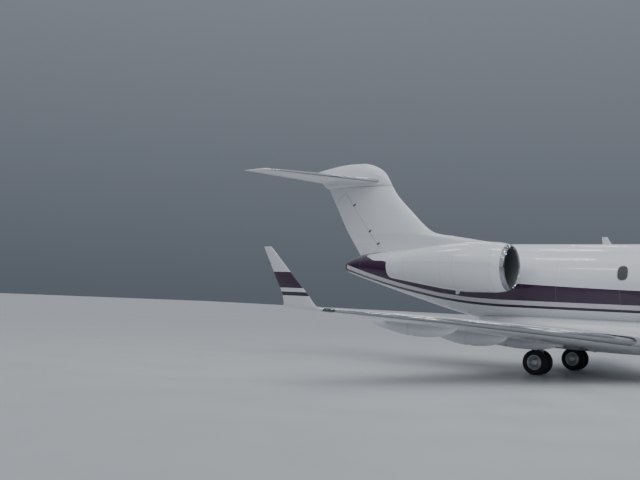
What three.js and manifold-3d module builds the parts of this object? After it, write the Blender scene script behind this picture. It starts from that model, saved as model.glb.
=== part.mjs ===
// A twin-engined business jet, parked on its landing gear, as a scene graph of separate pieces.
// Millimetres, +X forward, +Y to port, +Z up. Stations are measured forward from the tip of the
// tail cone, and the group at the end moves them so that the origin is under the middle of the jet.
import * as THREE from "three";
import { mergeVertices } from "three/addons/utils/BufferGeometryUtils.js";
import Module from "manifold-3d";

const wasm = await Module();
wasm.setup();

// Driving dimensions
const NOSE_X = 19100; // tip of the radome
const TAILMOST_X = -1800; // trailing corner of the tailplane's tips
const MIDDLE_X = (NOSE_X + TAILMOST_X) / 2;
const SEAM = 0.4; // between pieces that touch
const RUN = 8; // round a piece that turns
const PIN_FIT = 0.2; // between the corners of a pin and the flats of its bore
const PIN_SIDES = 12;
const SKIN = 90; // thickness of the cabin wall and its door
const FAR = 10000; // past everything, for cuts
const V = (x, y, z) => new THREE.Vector3(x, y, z);

// Materials
const paint = (color) => new THREE.MeshStandardMaterial({ color, roughness: 0.3, metalness: 0.1 });
const metal = (color, roughness) => new THREE.MeshStandardMaterial({ color, roughness, metalness: 0.9 });
const WHITE = paint(0xe4e6ea);
const BARE = metal(0xc9ccd0, 0.25);
const STEEL = metal(0x8d9094, 0.35);
const TITANIUM = metal(0x6f6a66, 0.45);
const GLASS = new THREE.MeshStandardMaterial({ color: 0x10151c, roughness: 0.08, metalness: 0 });
const RUBBER = new THREE.MeshStandardMaterial({ color: 0x1a1a1b, roughness: 0.85, metalness: 0 });
const GEAR = paint(0xd0d2d4);

// Solids: three.js geometry to manifold-3d and back
function solidOf(geometry, matrix) {
  const bare = new THREE.BufferGeometry();
  const flat = geometry.index ? geometry.toNonIndexed() : geometry;
  bare.setAttribute("position", flat.getAttribute("position").clone());
  if (matrix) bare.applyMatrix4(matrix);
  const merged = mergeVertices(bare, 1e-3);
  return new wasm.Manifold(
    new wasm.Mesh({
      numProp: 3,
      vertProperties: new Float32Array(merged.attributes.position.array),
      triVerts: new Uint32Array(merged.index.array),
    }),
  );
}

function geometryOf(solid) {
  const mesh = solid.simplify(0.1).getMesh();
  const positions = new Float32Array(mesh.numVert * 3);
  for (let i = 0; i < mesh.numVert; i++) {
    positions.set(mesh.vertProperties.subarray(i * mesh.numProp, i * mesh.numProp + 3), i * 3);
  }
  const geometry = new THREE.BufferGeometry();
  geometry.setAttribute("position", new THREE.BufferAttribute(positions, 3));
  geometry.setIndex(new THREE.BufferAttribute(new Uint32Array(mesh.triVerts), 1));
  geometry.computeVertexNormals();
  return geometry;
}

// The largest body of a solid, for cuts that leave slivers behind
function largest(solid) {
  return solid.decompose().reduce((a, b) => (a.volume() > b.volume() ? a : b));
}

// A closed skin through rings of points with like counts, capped at both ends
function loft(rings) {
  const count = rings[0].length;
  const points = rings.flat();
  const faces = [];
  for (let i = 0; i < rings.length - 1; i++) {
    for (let j = 0; j < count; j++) {
      const a = i * count + j;
      const b = i * count + ((j + 1) % count);
      // The diagonals are mirrored to starboard, so that a skin is the same on both sides
      const port = points[a].y + points[b + count].y + points[b].y + points[a + count].y >= 0;
      if (port) faces.push([a, b, b + count], [a, b + count, a + count]);
      else faces.push([a, b, a + count], [b, b + count, a + count]);
    }
  }
  for (const [start, turn] of [[0, true], [(rings.length - 1) * count, false]]) {
    const centre = points.length;
    const ring = rings[start / count];
    points.push(ring.reduce((sum, p) => sum.add(p), V(0, 0, 0)).divideScalar(count));
    for (let j = 0; j < count; j++) {
      const a = start + j;
      const b = start + ((j + 1) % count);
      faces.push(turn ? [centre, b, a] : [centre, a, b]);
    }
  }
  const build = (order) => {
    const geometry = new THREE.BufferGeometry();
    geometry.setAttribute(
      "position",
      new THREE.Float32BufferAttribute(points.flatMap((p) => [p.x, p.y, p.z]), 3),
    );
    geometry.setIndex(order.flat());
    return solidOf(geometry);
  };
  const solid = build(faces);
  return solid.volume() > 0 ? solid : build(faces.map(([a, b, c]) => [a, c, b]));
}

// Smooth value of a table's column at x: a cubic through the rows, with limited slopes
function smoothAt(table, column, x) {
  const last = table.length - 1;
  if (x <= table[0][0]) return table[0][column];
  if (x >= table[last][0]) return table[last][column];
  const i = table.findIndex((row) => row[0] > x) - 1;
  const slope = (k) => (table[k + 1][column] - table[k][column]) / (table[k + 1][0] - table[k][0]);
  const tangent = (k) => {
    if (k === 0) return slope(0);
    if (k === last) return slope(last - 1);
    const [before, after] = [slope(k - 1), slope(k)];
    return before * after <= 0 ? 0 : (2 * before * after) / (before + after);
  };
  const step = table[i + 1][0] - table[i][0];
  const t = (x - table[i][0]) / step;
  return (
    (1 + 2 * t) * (1 - t) ** 2 * table[i][column] +
    t * (1 - t) ** 2 * step * tangent(i) +
    t ** 2 * (3 - 2 * t) * table[i + 1][column] +
    t ** 2 * (t - 1) * step * tangent(i + 1)
  );
}

const range = (count) => Array.from({ length: count }, (_, i) => i);

// Box between two corners
function box(low, high, matrix) {
  const size = V(high[0] - low[0], high[1] - low[1], high[2] - low[2]);
  const geometry = new THREE.BoxGeometry(size.x, size.y, size.z);
  geometry.translate(low[0] + size.x / 2, low[1] + size.y / 2, low[2] + size.z / 2);
  return solidOf(geometry, matrix);
}

// Cylinder or cone between two points
function rod(a, b, radius, endRadius = radius, sides = 12) {
  const geometry = new THREE.CylinderGeometry(endRadius, radius, a.distanceTo(b), sides);
  const turn = new THREE.Quaternion().setFromUnitVectors(V(0, 1, 0), b.clone().sub(a).normalize());
  const middle = a.clone().add(b).multiplyScalar(0.5);
  return solidOf(geometry, new THREE.Matrix4().compose(middle, turn, V(1, 1, 1)));
}

function lathe(profile, sides) {
  return new THREE.LatheGeometry(profile.map(([along, r]) => new THREE.Vector2(r, along)), sides);
}

// Closed profile of [along, radius] turned about the X axis, then moved to a centre
function turnedAboutX(profile, centre, sides) {
  const geometry = lathe(profile, sides);
  const matrix = new THREE.Matrix4().makeTranslation(centre.x, centre.y, centre.z);
  matrix.multiply(new THREE.Matrix4().makeRotationZ(-Math.PI / 2));
  return outward(geometry, matrix);
}

// Closed profile of [along, radius] turned about the Y axis, with a flat at the bottom
function turnedAboutY(profile, centre, sides) {
  const geometry = lathe(profile, sides);
  geometry.rotateY(Math.PI / sides);
  return outward(geometry, new THREE.Matrix4().makeTranslation(centre.x, centre.y, centre.z));
}

// A solid with its faces pointing out, whichever way the geometry winds
function outward(geometry, matrix) {
  const solid = solidOf(geometry, matrix);
  if (solid.volume() > 0) return solid;
  const flipped = geometry.clone();
  const order = Array.from(geometry.index.array);
  for (let i = 0; i < order.length; i += 3) {
    [order[i + 1], order[i + 2]] = [order[i + 2], order[i + 1]];
  }
  flipped.setIndex(order);
  return solidOf(flipped, matrix);
}

// Outline of [x, z] points as a slab between two y
function slab(outline, yLow, yHigh) {
  const shape = new THREE.Shape(outline.map(([x, z]) => new THREE.Vector2(x, z)));
  const geometry = new THREE.ExtrudeGeometry(shape, { depth: yHigh - yLow, bevelEnabled: false });
  const matrix = new THREE.Matrix4().makeTranslation(0, yHigh, 0);
  matrix.multiply(new THREE.Matrix4().makeRotationX(Math.PI / 2));
  const bare = new THREE.BufferGeometry();
  bare.setAttribute("position", geometry.getAttribute("position"));
  return outward(mergeVertices(bare, 1e-3), matrix);
}

// Outline of a plate from [x, z] to [x, z] whose lower corners are rounded
const CORNER_STEPS = 4;
function roundFooted([lowX, lowZ], [highX, highZ], radius) {
  const corner = (x, z, from) =>
    range(CORNER_STEPS + 1).map((i) => {
      const angle = from + (Math.PI / 2) * (i / CORNER_STEPS);
      return [x + radius * Math.cos(angle), z + radius * Math.sin(angle)];
    });
  const aft = corner(lowX + radius, lowZ + radius, Math.PI);
  const fore = corner(highX - radius, lowZ + radius, Math.PI * 1.5);
  return [...aft, ...fore, [highX, highZ], [lowX, highZ]];
}

// Tubes and plates welded into one frame. Tubes are rows of two ends, a radius and a count of
// sides, and plates rows of two corners. Each point is [ahead, outboard, height] from the origin.
function weldment(origin, tubes, plates = {}) {
  const at = ([ahead, outboard, height]) => V(origin.x + ahead, origin.y + outboard, height);
  const round = ([a, b, radius, sides = 12]) => rod(at(a), at(b), radius, radius, sides);
  const flat = ([low, high]) => box(at(low).toArray(), at(high).toArray());
  const parts = [...Object.values(tubes).map(round), ...Object.values(plates).map(flat)];
  return parts.reduce((whole, part) => whole.add(part));
}

// Pieces of the finished jet
const jet = new THREE.Group();
jet.position.x = -MIDDLE_X;

function add(name, solid, material) {
  const mesh = new THREE.Mesh(geometryOf(solid), material);
  mesh.name = name;
  jet.add(mesh);
}

// A port piece and its mirror image to starboard
function addPair(name, solid, material) {
  add(name + "_left", solid, material);
  add(name + "_right", mirrorY(solid), material);
}

// Aerofoil as [along, height] with unit chord and thickness, from the trailing edge over the top
const AEROFOIL_STEPS = 5;
const TRAILING_HALF = 0.012;
// Half height of the standard four-digit aerofoil at a share u of the chord
function aerofoilHalf(u) {
  const curve = 0.2969 * Math.sqrt(u) - 0.126 * u - 0.3516 * u ** 2 + 0.2843 * u ** 3 - 0.1036 * u ** 4;
  return 5 * curve + TRAILING_HALF * u;
}
function aerofoil() {
  const steps = range(AEROFOIL_STEPS + 1).map((i) => (Math.PI * i) / AEROFOIL_STEPS);
  const along = steps.map((angle) => (1 - Math.cos(angle)) / 2);
  const top = along.slice(1).reverse().map((u) => [u, aerofoilHalf(u)]);
  return [...top, [0, 0], ...along.slice(1).map((u) => [u, -aerofoilHalf(u)])];
}
// An aerofoil's ring from its leading edge, trailing edge and thickness, placed point by point
function foilRing(lead, trail, thick, place) {
  return aerofoil().map(([u, v]) => place(lead + (trail - lead) * u, thick * v, u));
}

// Fuselage: columns are station, half width, top, widest height and bottom
const FUSELAGE = [
  [0, 160, 3030, 2860, 2695],
  [300, 270, 3170, 2850, 2600],
  [1000, 465, 3310, 2815, 2395],
  [2000, 700, 3425, 2740, 2110],
  [3000, 890, 3505, 2650, 1840],
  [4000, 1030, 3565, 2560, 1580],
  [5000, 1120, 3600, 2480, 1370],
  [6000, 1165, 3618, 2435, 1245],
  [7000, 1180, 3620, 2420, 1200],
  [14600, 1180, 3620, 2420, 1200],
  [15600, 1155, 3600, 2400, 1212],
  [16200, 1110, 3510, 2370, 1255],
  [16700, 1045, 3320, 2335, 1315],
  [17100, 965, 3120, 2300, 1385],
  [17500, 860, 2950, 2265, 1475],
  [18000, 695, 2775, 2225, 1610],
  [18500, 485, 2570, 2180, 1785],
  [18850, 290, 2390, 2150, 1940],
  [19020, 150, 2265, 2130, 2035],
  [NOSE_X, 12, 2137, 2125, 2113],
];
const FUSELAGE_SIDES = 24;
const RADOME_X = 17950;
const FUSELAGE_STATIONS = [
  0, 300, 1000, 2000, 3000, 4000, 5000, 6000, 7000, 14600, 15600, 16000, 16400, 16750, 17100, 17500,
];
const RADOME_STATIONS = [18300, 18600, 18850, 19020, NOSE_X];

// The fuselage's ring at a station, grown outwards by an amount
function fuselageRing(x, grow) {
  const [half, top, widest, bottom] = [1, 2, 3, 4].map((column) => smoothAt(FUSELAGE, column, x));
  return range(FUSELAGE_SIDES).map((i) => {
    const angle = (2 * Math.PI * (i + 0.5)) / FUSELAGE_SIDES;
    const rise = Math.sin(angle) > 0 ? top - widest + grow : widest - bottom + grow;
    return V(x, (half + grow) * Math.cos(angle), widest + rise * Math.sin(angle));
  });
}
const fuselageLoft = (stations, grow = 0) => loft(stations.map((x) => fuselageRing(x, grow)));
const FRONT_STATIONS = [...FUSELAGE_STATIONS, RADOME_X];
const hull = fuselageLoft(FRONT_STATIONS);
const hullGrown = fuselageLoft(FRONT_STATIONS, SEAM);

// Half width of the fuselage's skin at a station and a height
function skinHalf(x, height) {
  const [half, top, widest, bottom] = [1, 2, 3, 4].map((column) => smoothAt(FUSELAGE, column, x));
  const reach = height > widest ? top - widest : widest - bottom;
  return half * Math.sqrt(Math.max(0, 1 - ((height - widest) / reach) ** 2));
}
const BESIDE = 1400; // clear of the fuselage's side

// Entry: vestibule, airstair door and its hinge
const DOOR = { aft: 15130, fore: 15910, sill: 1560, head: 3290, gap: RUN };
const DOOR_MIDDLE = (DOOR.aft + DOOR.fore) / 2;
const VESTIBULE_Y = -250;
const STEP = { count: 4, depth: 210, thickness: 26, first: 260, rise: 330, inset: 90, rooted: 30 };
// The door's knuckle turns on a pin between two lugs: half length of the knuckle, play at its
// ends, length of a lug, the pin's bite in it, half thickness of the door's leaf and its height
const DOOR_HINGE = {
  y: 854,
  z: DOOR.sill + 18,
  barrel: 18,
  pin: 9,
  half: 260,
  play: 2,
  lug: 58,
  bite: 50,
  leafHalf: 12,
  leafHigh: 60,
};
const LUG_WEB = { near: 6, far: 16, foot: 30 };
const LUG_FOOT = { far: 70, high: 26, low: 70 };

function doorway(grow, inner) {
  return box([DOOR.aft - grow, inner, DOOR.sill - grow], [DOOR.fore + grow, BESIDE, DOOR.head + grow]);
}
const HINGE_SIDES = 16;
function hingeRod(from, to, radius) {
  const { y, z } = DOOR_HINGE;
  return rod(V(from, y, z), V(to, y, z), radius, radius, HINGE_SIDES);
}
function entryDoor() {
  const inner = fuselageLoft(FRONT_STATIONS, -SKIN);
  let door = hull.intersect(doorway(0, 0)).subtract(inner);
  // Treads on the door's inner face
  for (const i of range(STEP.count)) {
    const z = DOOR.sill + STEP.first + i * STEP.rise;
    const wall = skinHalf(DOOR_MIDDLE, z) - SKIN;
    const low = [DOOR.aft + STEP.inset, wall - STEP.depth, z];
    door = door.add(box(low, [DOOR.fore - STEP.inset, wall + STEP.rooted, z + STEP.thickness]));
  }
  const { y, z, half, barrel, pin, leafHalf, leafHigh } = DOOR_HINGE;
  door = largest(door.subtract(hingeRod(DOOR.aft - FAR, DOOR.fore + FAR, barrel + RUN)));
  const leaf = box([DOOR_MIDDLE - half, y - leafHalf, z], [DOOR_MIDDLE + half, y + leafHalf, z + leafHigh]);
  return door
    .add(hingeRod(DOOR_MIDDLE - half, DOOR_MIDDLE + half, barrel))
    .add(leaf)
    .subtract(hingeRod(DOOR.aft, DOOR.fore, boreRadius(pin, HINGE_SIDES)));
}
function doorHingeLugs() {
  const { y, z, half, play, lug, bite, barrel, pin } = DOOR_HINGE;
  const near = half + play;
  const makeLug = (from, to) =>
    box([from, y - LUG_WEB.far, z - LUG_WEB.foot], [to, y - LUG_WEB.near, z])
      .add(box([from, y - LUG_FOOT.far, z - LUG_FOOT.low], [to, y - LUG_WEB.near, z - LUG_FOOT.high]))
      .add(hingeRod(from, to, barrel));
  return hingeRod(DOOR_MIDDLE - near - bite, DOOR_MIDDLE + near + bite, pin)
    .add(makeLug(DOOR_MIDDLE - near - lug, DOOR_MIDDLE - near))
    .add(makeLug(DOOR_MIDDLE + near, DOOR_MIDDLE + near + lug));
}

// A faceted bore's radius that leaves PIN_FIT on the flats round a faceted pin
function boreRadius(pin, sides) {
  return (pin + PIN_FIT) / Math.cos(Math.PI / sides);
}

// Windscreen and side windows: side-view outlines, cut from the skin and set back in as panes
const PANE = 24;
const PANE_PLAY = 2; // round a pane, and half of it at the centre post
const CENTRE_POST = 45;
const WINDSCREEN = [
  [17620, 2935],
  [16990, 2850],
  [16500, 3325],
  [16600, 3400],
  [17000, 3500],
  [17800, 3300],
];
const SIDE_WINDOW = [
  [16870, 2835],
  [16090, 2745],
  [15990, 2850],
  [16060, 3180],
  [16385, 3300],
];
function shrunk(outline, amount) {
  const mean = (column) => outline.reduce((sum, point) => sum + point[column] / outline.length, 0);
  const [middleX, middleZ] = [mean(0), mean(1)];
  return outline.map(([x, z]) => {
    const away = Math.hypot(x - middleX, z - middleZ);
    const scale = (away - amount) / away;
    return [middleX + (x - middleX) * scale, middleZ + (z - middleZ) * scale];
  });
}
const paneBed = fuselageLoft(FRONT_STATIONS, -PANE - SEAM);
const paneInner = fuselageLoft(FRONT_STATIONS, -PANE);
function pane(outline) {
  const cutter = slab(shrunk(outline, PANE_PLAY), CENTRE_POST + PANE_PLAY / 2, BESIDE);
  return largest(hull.intersect(cutter).subtract(paneInner));
}
function panePocket(outline) {
  return slab(outline, CENTRE_POST, BESIDE).subtract(paneBed);
}

// Tail exhaust, in a recess in the end of the tail cone
const EXHAUST = { outer: 118, inner: 98, depth: 240, wall: 20, proud: 45, play: 1, z: 2862, sides: 24 };
function tailRecess() {
  const radius = EXHAUST.outer + EXHAUST.play;
  return rod(V(-FAR, 0, EXHAUST.z), V(EXHAUST.depth, 0, EXHAUST.z), radius, radius, EXHAUST.sides);
}
function tailExhaust() {
  const { outer, inner, depth, wall, proud, z, sides } = EXHAUST;
  const profile = [
    [-proud, inner],
    [-proud, outer],
    [depth - SEAM, outer],
    [depth - SEAM, 0],
    [depth - wall, 0],
    [depth - wall, inner],
    [-proud, inner],
  ];
  return turnedAboutX(profile, V(0, 0, z), sides);
}

// Nose gear well
const NOSE_GEAR_X = 15800;
const NOSE_WELL = { aft: 15450, fore: 16150, half: 190, roof: 1480 };
function noseWell() {
  return box([NOSE_WELL.aft, -NOSE_WELL.half, 0], [NOSE_WELL.fore, NOSE_WELL.half, NOSE_WELL.roof]);
}

// Belly fairing between the wing roots: station, half width, top and bottom
const FAIRING = [
  [4900, 380, 1500, 1330],
  [5300, 800, 1520, 1150],
  [5900, 1120, 1540, 880],
  [6800, 1330, 1560, 700],
  [9500, 1350, 1560, 655],
  [10700, 1270, 1530, 730],
  [11700, 1010, 1480, 930],
  [12300, 640, 1440, 1110],
  [12700, 300, 1400, 1190],
];
const FAIRING_SIDES = 16;
// A sine or cosine that fills a ring's corners out: 1 is an ellipse, 0 a rectangle
const squared = (t, power) => Math.sign(t) * Math.abs(t) ** power;
const FAIRING_POWER = 0.6;
function fairingRing([x, half, top, bottom], grow) {
  const middle = (top + bottom) / 2;
  const rise = (top - bottom) / 2 + grow;
  return range(FAIRING_SIDES).map((i) => {
    const angle = (2 * Math.PI * (i + 0.5)) / FAIRING_SIDES;
    const across = (half + grow) * squared(Math.cos(angle), FAIRING_POWER);
    return V(x, across, middle + rise * squared(Math.sin(angle), FAIRING_POWER));
  });
}
const fairingLoft = (grow) => loft(FAIRING.map((row) => fairingRing(row, grow)));

// Wing: y, leading edge, trailing edge, height of the leading edge, thickness and how far the
// trailing edge lies below the leading edge
const WING = [
  [700, 10690, 5855, 1000, 470, 90],
  [1350, 10335, 5840, 1005, 500, 80],
  [4000, 8886, 5780, 1190, 360, 40],
  [7000, 7245, 5259, 1385, 222, 18],
  [9750, 5740, 4780, 1525, 106, 6],
];
function wingRing(y) {
  const [lead, trail, z, thick, droop] = [1, 2, 3, 4, 5].map((column) => linearAt(WING, column, y));
  return foilRing(lead, trail, thick, (x, up, u) => V(x, y, z - droop * u + up));
}
function linearAt(table, column, x) {
  const i = Math.min(Math.max(table.findIndex((row) => row[0] > x) - 1, 0), table.length - 2);
  const index = x >= table[table.length - 1][0] ? table.length - 2 : i;
  const [a, b] = [table[index], table[index + 1]];
  return a[column] + ((b[column] - a[column]) * (x - a[0])) / (b[0] - a[0]);
}

// Flap track fairings: y, tail, deepest station, nose, lowest height and half width
const CANOES = [
  [2600, 5480, 6750, 8050, 725, 125],
  [4550, 5400, 6400, 7500, 795, 120],
  [6500, 4900, 5960, 7120, 1000, 105],
];
// How a canoe is made: stations, sides, the share left off each tip, the least fullness there, how
// fast the tail and the nose fill out, and how deep the roof is sunk in the wing
const CANOE = { steps: 6, sides: 8, tip: 0.004, least: 0.0025, tail: 0.95, nose: 1.1, sunk: 60 };
function canoe([y, tail, deepest, nose, low, half]) {
  const depth = wingUnderside(deepest, y) - low;
  const rings = range(CANOE.steps + 1).map((i) => {
    const t = CANOE.tip + ((1 - 2 * CANOE.tip) * i) / CANOE.steps;
    const x = tail + ((nose - tail) * (1 - Math.cos(Math.PI * t))) / 2;
    const behind = x < deepest;
    const reach = behind ? (deepest - x) / (deepest - tail) : (x - deepest) / (nose - deepest);
    const round = Math.sqrt(Math.max(1 - reach ** 2, CANOE.least));
    const fullness = round ** (behind ? CANOE.tail : CANOE.nose);
    const skin = wingUnderside(x, y);
    const [roof, floor] = [skin + CANOE.sunk, skin - depth * fullness];
    return range(CANOE.sides).map((j) => {
      const angle = (2 * Math.PI * (j + 0.5)) / CANOE.sides;
      const height = (roof + floor) / 2 + ((roof - floor) / 2) * Math.sin(angle);
      return V(x, y + half * fullness * Math.cos(angle), height);
    });
  });
  return loft(rings);
}
// Height of the wing's lower skin, carried on level behind the trailing edge
const NOSE_SHARE = 0.02; // ahead of this share of the chord the skin is taken as level too
function wingUnderside(x, y) {
  const [lead, trail, z, thick, droop] = [1, 2, 3, 4, 5].map((column) => linearAt(WING, column, y));
  const u = Math.min(Math.max((lead - x) / (lead - trail), NOSE_SHARE), 1);
  return z - droop * u - thick * aerofoilHalf(u);
}

// A frame on a hinge line: local x runs aft, local y up or outboard, local z from a to b
function hingeFrame(a, b) {
  const along = b.clone().sub(a).normalize();
  const aft = V(-1, 0, 0).addScaledVector(along, along.x).normalize();
  const across = along.clone().cross(aft);
  return new THREE.Matrix4().makeBasis(aft, across, along).setPosition(a);
}
const localRod = (frame, from, to, r, endR = r, sides = PIN_SIDES) =>
  rod(V(0, 0, from).applyMatrix4(frame), V(0, 0, to).applyMatrix4(frame), r, endR, sides);

// A plain hinged surface cut out of a body: the surface has a round nose and turns on an end pin at
// each end, and what is left of the body has a round cove and the two pins
const END_PIN = { into: 55, bore: 60, rooted: 40 };
const SURFACE_REACH = 500; // more than the surface's thickness either way
function plainSurface(body, { a, b, noseA, noseB, chord, pin, innerY = -FAR }) {
  const frame = hingeFrame(a, b);
  const span = a.distanceTo(b);
  const behind = (low, high) => box([0, -SURFACE_REACH, low], [chord, SURFACE_REACH, high], frame);
  const inboard = box([-FAR, innerY - FAR, -FAR], [FAR, innerY, FAR]);
  const bore = boreRadius(pin, PIN_SIDES);
  const nose = localRod(frame, 0, span, noseA, noseB).intersect(body);
  const surface = largest(body.intersect(behind(0, span)).add(nose).subtract(inboard))
    .subtract(localRod(frame, -RUN, END_PIN.bore, bore))
    .subtract(localRod(frame, span - END_PIN.bore, span + RUN, bore));
  const rest = body
    .subtract(behind(-RUN, span + RUN))
    .subtract(localRod(frame, -RUN, span + RUN, noseA + RUN, noseB + RUN))
    .add(localRod(frame, -RUN - END_PIN.rooted, END_PIN.into, pin))
    .add(localRod(frame, span - END_PIN.into, span + RUN + END_PIN.rooted, pin));
  return [surface, largest(rest)];
}

// A flap on dropped pivots: the flap is what lies behind a plane through its leading edge, with the
// tails of its track fairings, and each fairing's nose holds a pin that a lug of the flap turns on
// How far the pivot lies ahead of the flap, the lug's radius, half width and strap into the flap,
// the pin and its root on each side, the room round the lug and behind it, and the angle in degrees
// that clears the droop
const PIVOT = {
  ahead: 42,
  lug: 30,
  lugHalf: 30,
  strap: 90,
  pin: 13,
  rooted: 42,
  clear: 9,
  behind: 20,
  droop: 33,
};
const FLAP_REACH = { down: -400, up: 1100, chord: 1700 };
function droppedFlap(body, { a, b, pivots }) {
  const frame = hingeFrame(a, b);
  const span = a.distanceTo(b);
  const { down, up, chord } = FLAP_REACH;
  const { ahead, lug, lugHalf, strap, pin, rooted, clear } = PIVOT;
  let flap = body.intersect(box([ahead, down, 0], [chord, up, span], frame));
  let rest = body.subtract(box([ahead - RUN, down, -RUN], [chord + FAR, up, span + RUN], frame));
  // Below the pivots the flap is cut back by more than the angle that it droops through
  const tilted = frame.clone().multiply(new THREE.Matrix4().makeRotationZ((PIVOT.droop * Math.PI) / 180));
  flap = flap.subtract(box([down, down, -RUN], [ahead, 0, span + RUN], tilted));
  for (const at of pivots) {
    const [low, high] = [at - lugHalf, at + lugHalf];
    const slot = lug + clear;
    flap = flap
      .add(localRod(frame, low, high, lug))
      .add(box([0, clear - lug, low], [ahead + strap, lug, high], frame))
      .subtract(localRod(frame, low - 1, high + 1, boreRadius(pin, PIN_SIDES)));
    rest = rest
      .subtract(box([-slot, down, low - clear], [slot + PIVOT.behind, slot, high + clear], frame))
      .add(localRod(frame, low - rooted, high + rooted, pin));
  }
  return [largest(flap), largest(rest)];
}

// Outboard flap, inboard flap and aileron of the port wing, as hinge ends
const OUTER_FLAP = { y: [4200, 7180], share: 0.28 };
const INNER_FLAP = { y: [1620, 3830], share: 0.24 };
const AILERON = { y: [7300, 9300], share: 0.27 };
const flapLeadX = (y, share) => {
  const [lead, trail] = [linearAt(WING, 1, y), linearAt(WING, 2, y)];
  return trail + share * (lead - trail);
};
// A point on a flap's pivot line, PIVOT.ahead in front of its leading edge
function pivotLine(share, yLow, yHigh, zLow, zHigh) {
  return (y) => {
    const t = (y - yLow) / (yHigh - yLow);
    const x0 = flapLeadX(yLow, share) + PIVOT.ahead;
    const x1 = flapLeadX(yHigh, share) + PIVOT.ahead;
    return V(x0 + (x1 - x0) * t, y, zLow + (zHigh - zLow) * t);
  };
}
const PIVOT_RISE = 48; // above the lowest point of a track fairing
const INNER_CLIMB = 90; // of the inboard flap's pivot line, from its fairing to its outer end
const [innerHeight, middleHeight, outerHeight] = CANOES.map((row) => row[4] + PIVOT_RISE);
const [innerY, middleY, outerY] = CANOES.map((row) => row[0]);
const outerPivot = pivotLine(OUTER_FLAP.share, middleY, outerY, middleHeight, outerHeight);
const innerPivot = pivotLine(
  INNER_FLAP.share, innerY, INNER_FLAP.y[1], innerHeight, innerHeight + INNER_CLIMB,
);
function aileronHinge(y) {
  const droop = linearAt(WING, 5, y);
  return V(flapLeadX(y, AILERON.share), y, linearAt(WING, 3, y) - droop * (1 - AILERON.share));
}

function portWing() {
  let body = loft(WING.map(([y]) => wingRing(y)));
  for (const row of CANOES) body = body.add(canoe(row));
  body = largest(body.subtract(fairingLoft(SEAM)).subtract(hullGrown));
  const distance = (line, low, y) => line(low).distanceTo(line(y));
  const [innerLow, innerHigh] = INNER_FLAP.y;
  const [inner, afterInner] = droppedFlap(body, {
    a: innerPivot(innerLow),
    b: innerPivot(innerHigh),
    pivots: [distance(innerPivot, innerLow, innerY)],
  });
  const [outerLow, outerHigh] = OUTER_FLAP.y;
  const [outer, afterOuter] = droppedFlap(afterInner, {
    a: outerPivot(outerLow),
    b: outerPivot(outerHigh),
    pivots: [middleY, outerY].map((y) => distance(outerPivot, outerLow, y)),
  });
  const [aileron, rest] = plainSurface(afterOuter, {
    a: aileronHinge(AILERON.y[0]),
    b: aileronHinge(AILERON.y[1]),
    noseA: 60,
    noseB: 34,
    chord: 700,
    pin: 12,
  });
  return { inner, outer, aileron, wing: rest };
}

// Winglet: a blended root, then a straight canted blade. Columns are y, z, leading edge, trailing
// edge, thickness and lean in degrees.
const WINGLET = [
  [9750 + SEAM, 1525, 5740, 4780, 106, 0],
  [9830, 1536, 5712, 4800, 98, 18],
  [9895, 1575, 5680, 4862, 88, 42],
  [9935, 1650, 5625, 4890, 78, 62],
  [9990, 1790, 5540, 4893, 66, 68],
  [10120, 2130, 5280, 4805, 50, 68],
  [10270, 2735, 4772, 4583, 30, 68],
];
function winglet() {
  const rootDroop = WING[WING.length - 1][5];
  const rings = WINGLET.map(([y, z, lead, trail, thick, lean]) => {
    const angle = (lean * Math.PI) / 180;
    const droop = lean ? 0 : rootDroop;
    return foilRing(lead, trail, thick, (x, up, u) =>
      V(x, y - Math.sin(angle) * up, z + Math.cos(angle) * up - droop * u),
    );
  });
  return loft(rings);
}

// Fin: z, leading edge, trailing edge and thickness
const FIN = [
  [3130, 5810, 540, 244],
  [3250, 5700, 455, 250],
  [3640, 5350, 180, 270],
  [3740, 4650, 110, 285],
  [3800, 4250, 68, 300],
  [3870, 3790, 20, 315],
  [3920, 3400, -13, 325],
  [3970, 3180, -46, 330],
  [4050, 3010, -98, 330],
  [4200, 2800, -194, 325],
  [4520, 2460, -372, 312],
  [5240, 1740, -772, 280],
  [5500, 1560, -916, 268],
];
const FIN_TOP = 5500;
const finRing = ([z, lead, trail, thick]) => foilRing(lead, trail, thick, (x, side) => V(x, side, z));
// Rudder: its foot and its top at the hinge, a point of its hinge line, how far that leans aft for
// its height, and the gap over the tail cone
const RUDDER = { foot: 3500, top: 5330, x: 1190, z: 3490, lean: 0.75, gap: 25 };
const rudderHinge = (z) => V(RUDDER.x - (z - RUDDER.z) * RUDDER.lean, 0, z);
function finAndRudder() {
  const body = largest(loft(FIN.map(finRing)).subtract(hullGrown));
  const [rudder, fin] = plainSurface(body, {
    a: rudderHinge(RUDDER.foot),
    b: rudderHinge(RUDDER.top),
    noseA: 112,
    noseB: 82,
    chord: 1900,
    pin: 16,
  });
  return { rudder: largest(rudder.subtract(fuselageLoft(FRONT_STATIONS, RUDDER.gap))), fin };
}

// Tailplane: y, leading edge, trailing edge, height and thickness
const TAILPLANE = [
  [0, 1220, -1120, 5690, 235],
  [3400, -820, TAILMOST_X, 5662, 88],
  [3470, -1000, TAILMOST_X, 5661, 50],
];
function tailplaneRing(y, grow = 0) {
  const [lead, trail, z, thick] = [1, 2, 3, 4].map((column) => linearAt(TAILPLANE, column, Math.abs(y)));
  return foilRing(lead + grow, trail - grow, thick, (x, up) => V(x, y, z + up + Math.sign(up) * grow));
}
const ELEVATOR = { y: [290, 3250], share: 0.3 };
function elevatorHinge(y) {
  const [lead, trail, z] = [1, 2, 3].map((column) => linearAt(TAILPLANE, column, y));
  return V(trail + ELEVATOR.share * (lead - trail), y, z);
}
function tailplaneBody() {
  const [, ...outboard] = TAILPLANE.map(([y]) => y);
  const across = [...outboard.map((y) => -y).reverse(), 0, ...outboard];
  return loft(across.map((y) => tailplaneRing(y)));
}
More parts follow.
